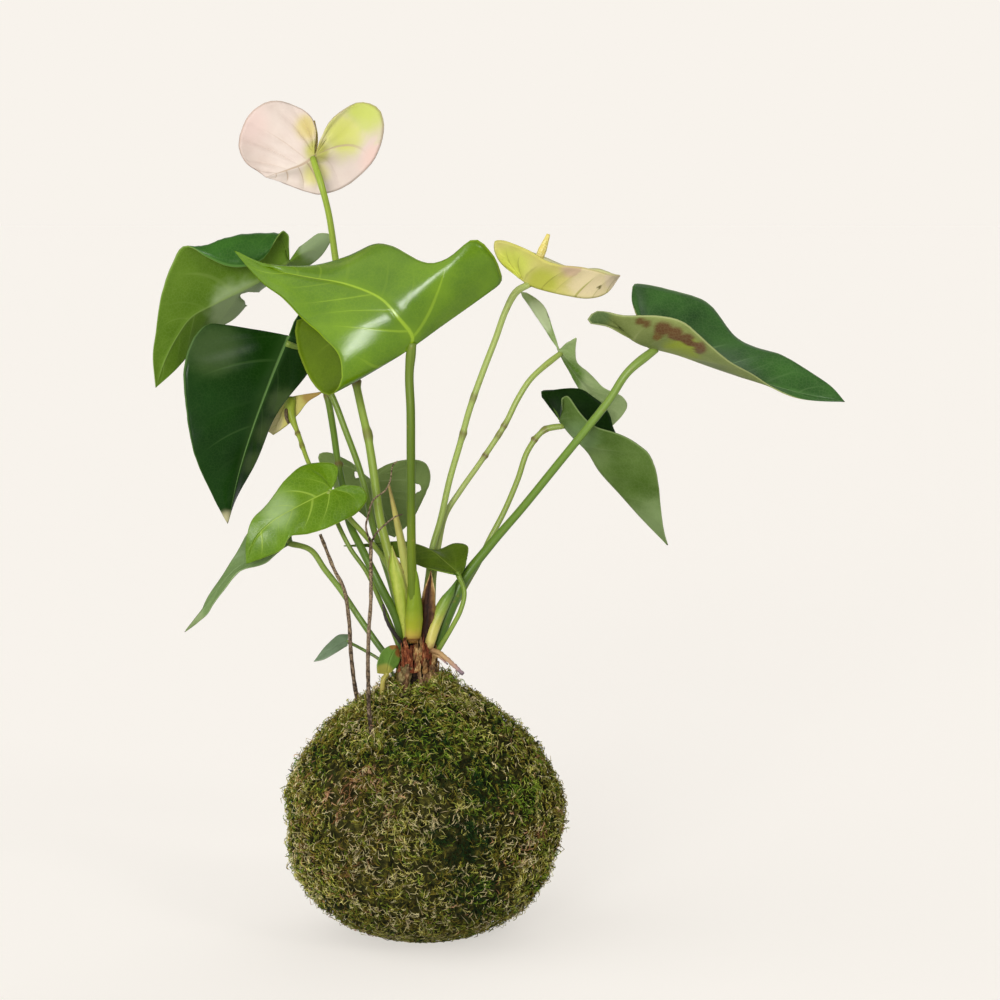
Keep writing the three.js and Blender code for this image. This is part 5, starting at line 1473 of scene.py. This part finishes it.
def addRods():
    skins = {}
    for name, rod in rodParts.items():
        skin = rod["material"]
        skins[skin] = skins.get(skin) or rampMaterial(skin, "stalkMap", rod)
        grids = [tubeGrid(*branch, rod["shape"]) for branch in rod["branches"]]
        addTubes(name, grids, skins[skin], [name])


print("sheaths, roots and twigs")
addSheaths()
addRods()

# Potting soil: crumbly, dark brown and matt, hidden in the moss.
soil = crumbMaterial("pottingSoil", {"Roughness": 0.95}, {"Scale": 300.0, "Detail": 6.0},
                     [(0.3, "#1e140c"), (0.6, "#4a3524"), (0.8, "#6b5138")], 0.8, 0.002)
for place in bpy.data.objects["soil_ball"].material_slots:
    place.material = soil


studio = {
    "paper": "#F8F3EC", "paperOwnLight": 0.6,
    # name, strength, softness in degrees, compass turn from the front (left is negative), height in degrees
    "lamps": [
        ("window", 1.1, 100, -56, 24), ("roof", 0.3, 110, -30, 75), ("softbox_left", 0.35, 11, -21, 9),
        ("softbox_middle", 1.25, 21, -12, 8), ("softbox_right", 0.45, 14, -9, 17),
        ("softbox_side", 0.3, 13, 42, 32), ("front_fill", 0.2, 110, 10, 12), ("back_wall", 0.5, 60, 155, 35),
    ],
    "skyLow": 0.2, "skyHigh": 0.3, "skyBelow": 0.62, "skyPower": 1.2,
    "lens": 110, "distance": 1290, "elevation": 6, "target": (32.5, 0, 186.5),
}


# How much of a soft lamp's light falls on the floor, from directions spread evenly over the lamp.
def floorShare(away, softness):
    beside = away.orthogonal().normalized()
    above = away.cross(beside)
    edge = math.cos(math.radians(softness) / 2)
    total, rings, spokes = 0.0, 60, 72
    for ring in range(rings):
        ahead = 1 - (ring + 0.5) / rings * (1 - edge)
        aside = math.sqrt(1 - ahead * ahead)
        for spoke in range(spokes):
            turn = 2 * math.pi * spoke / spokes
            way = away * ahead + (beside * math.cos(turn) + above * math.sin(turn)) * aside
            total += max(0.0, way.z)
    return 2 * total / (rings * spokes * (1 + edge))


def addSun(name, strength, softness, turn, height):
    turn, height = math.radians(turn), math.radians(height)
    away = Vector((math.sin(turn) * math.cos(height), -math.cos(turn) * math.cos(height), math.sin(height)))
    lamp = bpy.data.lights.new(name, "SUN")
    lamp.energy = strength
    lamp.angle = math.radians(softness)
    placed = bpy.data.objects.new(name, lamp)
    placed.rotation_euler = away.to_track_quat("Z", "Y").to_euler()
    placed.location = away
    bpy.context.scene.collection.objects.link(placed)
    return strength * floorShare(away, softness) / math.pi


print("floor, light and camera")
lit = sum(addSun(*lamp) for lamp in studio["lamps"])
lit += studio["skyLow"] + 2 * (studio["skyHigh"] - studio["skyLow"]) / (studio["skyPower"] + 2)

# The room is brighter overhead than at eye level, and its lower half stands for the light that the pale
# floor throws back. The camera itself sees plain paper.
world = bpy.data.worlds.new("studio")
bpy.context.scene.world = world
world.use_nodes = True
tree = world.node_tree
tree.nodes.clear()
height = addNode(tree, "SeparateXYZ", {}, [addNode(tree, "TexCoord")]).node.outputs["Z"]
above = addNode(tree, "Math", greater, [height, 0.0])
above = addNode(tree, "Math", {"operation": "POWER"}, [above, studio["skyPower"]])
sky = addNode(tree, "Math", multiplyAdd, [above, studio["skyHigh"] - studio["skyLow"], studio["skyLow"]])
under = addNode(tree, "Math", {"operation": "LESS_THAN"}, [height, 0.0])
sky = addNode(tree, "Math", multiplyAdd, [under, studio["skyBelow"] - studio["skyLow"], sky])
glow = addNode(tree, "Background", {}, {"Color": (1.0, 1.0, 1.0, 1.0), "Strength": sky})
seen = addNode(tree, "Background", {}, {"Color": linearColour(studio["paper"]), "Strength": 1.0})
ray = addNode(tree, "LightPath").node.outputs["Is Camera Ray"]
mixed = addNode(tree, "MixShader", {}, [ray, glow, seen])
out = tree.nodes.new("ShaderNodeOutputWorld")
tree.links.new(mixed, out.inputs["Surface"])

# Matt paper floor. Its own light keeps the shadow under the ball faint.
own = studio["paperOwnLight"]
tone = linearColour(studio["paper"])
paper, _ = startMaterial("mattPaper", {
    "Base Color": [c * (1 - own) / lit for c in tone[:3]] + [1.0], "Emission Color": tone,
    "Emission Strength": own, "Roughness": 1.0, "Specular IOR Level": 0.0,
})
bm = bmesh.new()
bmesh.ops.create_grid(bm, x_segments=1, y_segments=1, size=20)
floorMesh = bpy.data.meshes.new("floor")
bm.to_mesh(floorMesh)
bm.free()
floor = bpy.data.objects.new("floor", floorMesh)
bpy.context.scene.collection.objects.link(floor)
floorMesh.materials.append(paper)
floor.visible_diffuse = False
floor.visible_glossy = False

tilt = math.radians(studio["elevation"])
camera = bpy.data.cameras.new("camera")
camera.lens = studio["lens"]
camera.clip_end = 50
view = bpy.data.objects.new("camera", camera)
away = Vector((0, -math.cos(tilt), math.sin(tilt)))
view.location = (Vector(studio["target"]) + away * studio["distance"]) * mm
view.rotation_euler = away.to_track_quat("Z", "Y").to_euler()
bpy.context.scene.collection.objects.link(view)
bpy.context.scene.camera = view
bpy.context.scene.view_settings.view_transform = "Standard"
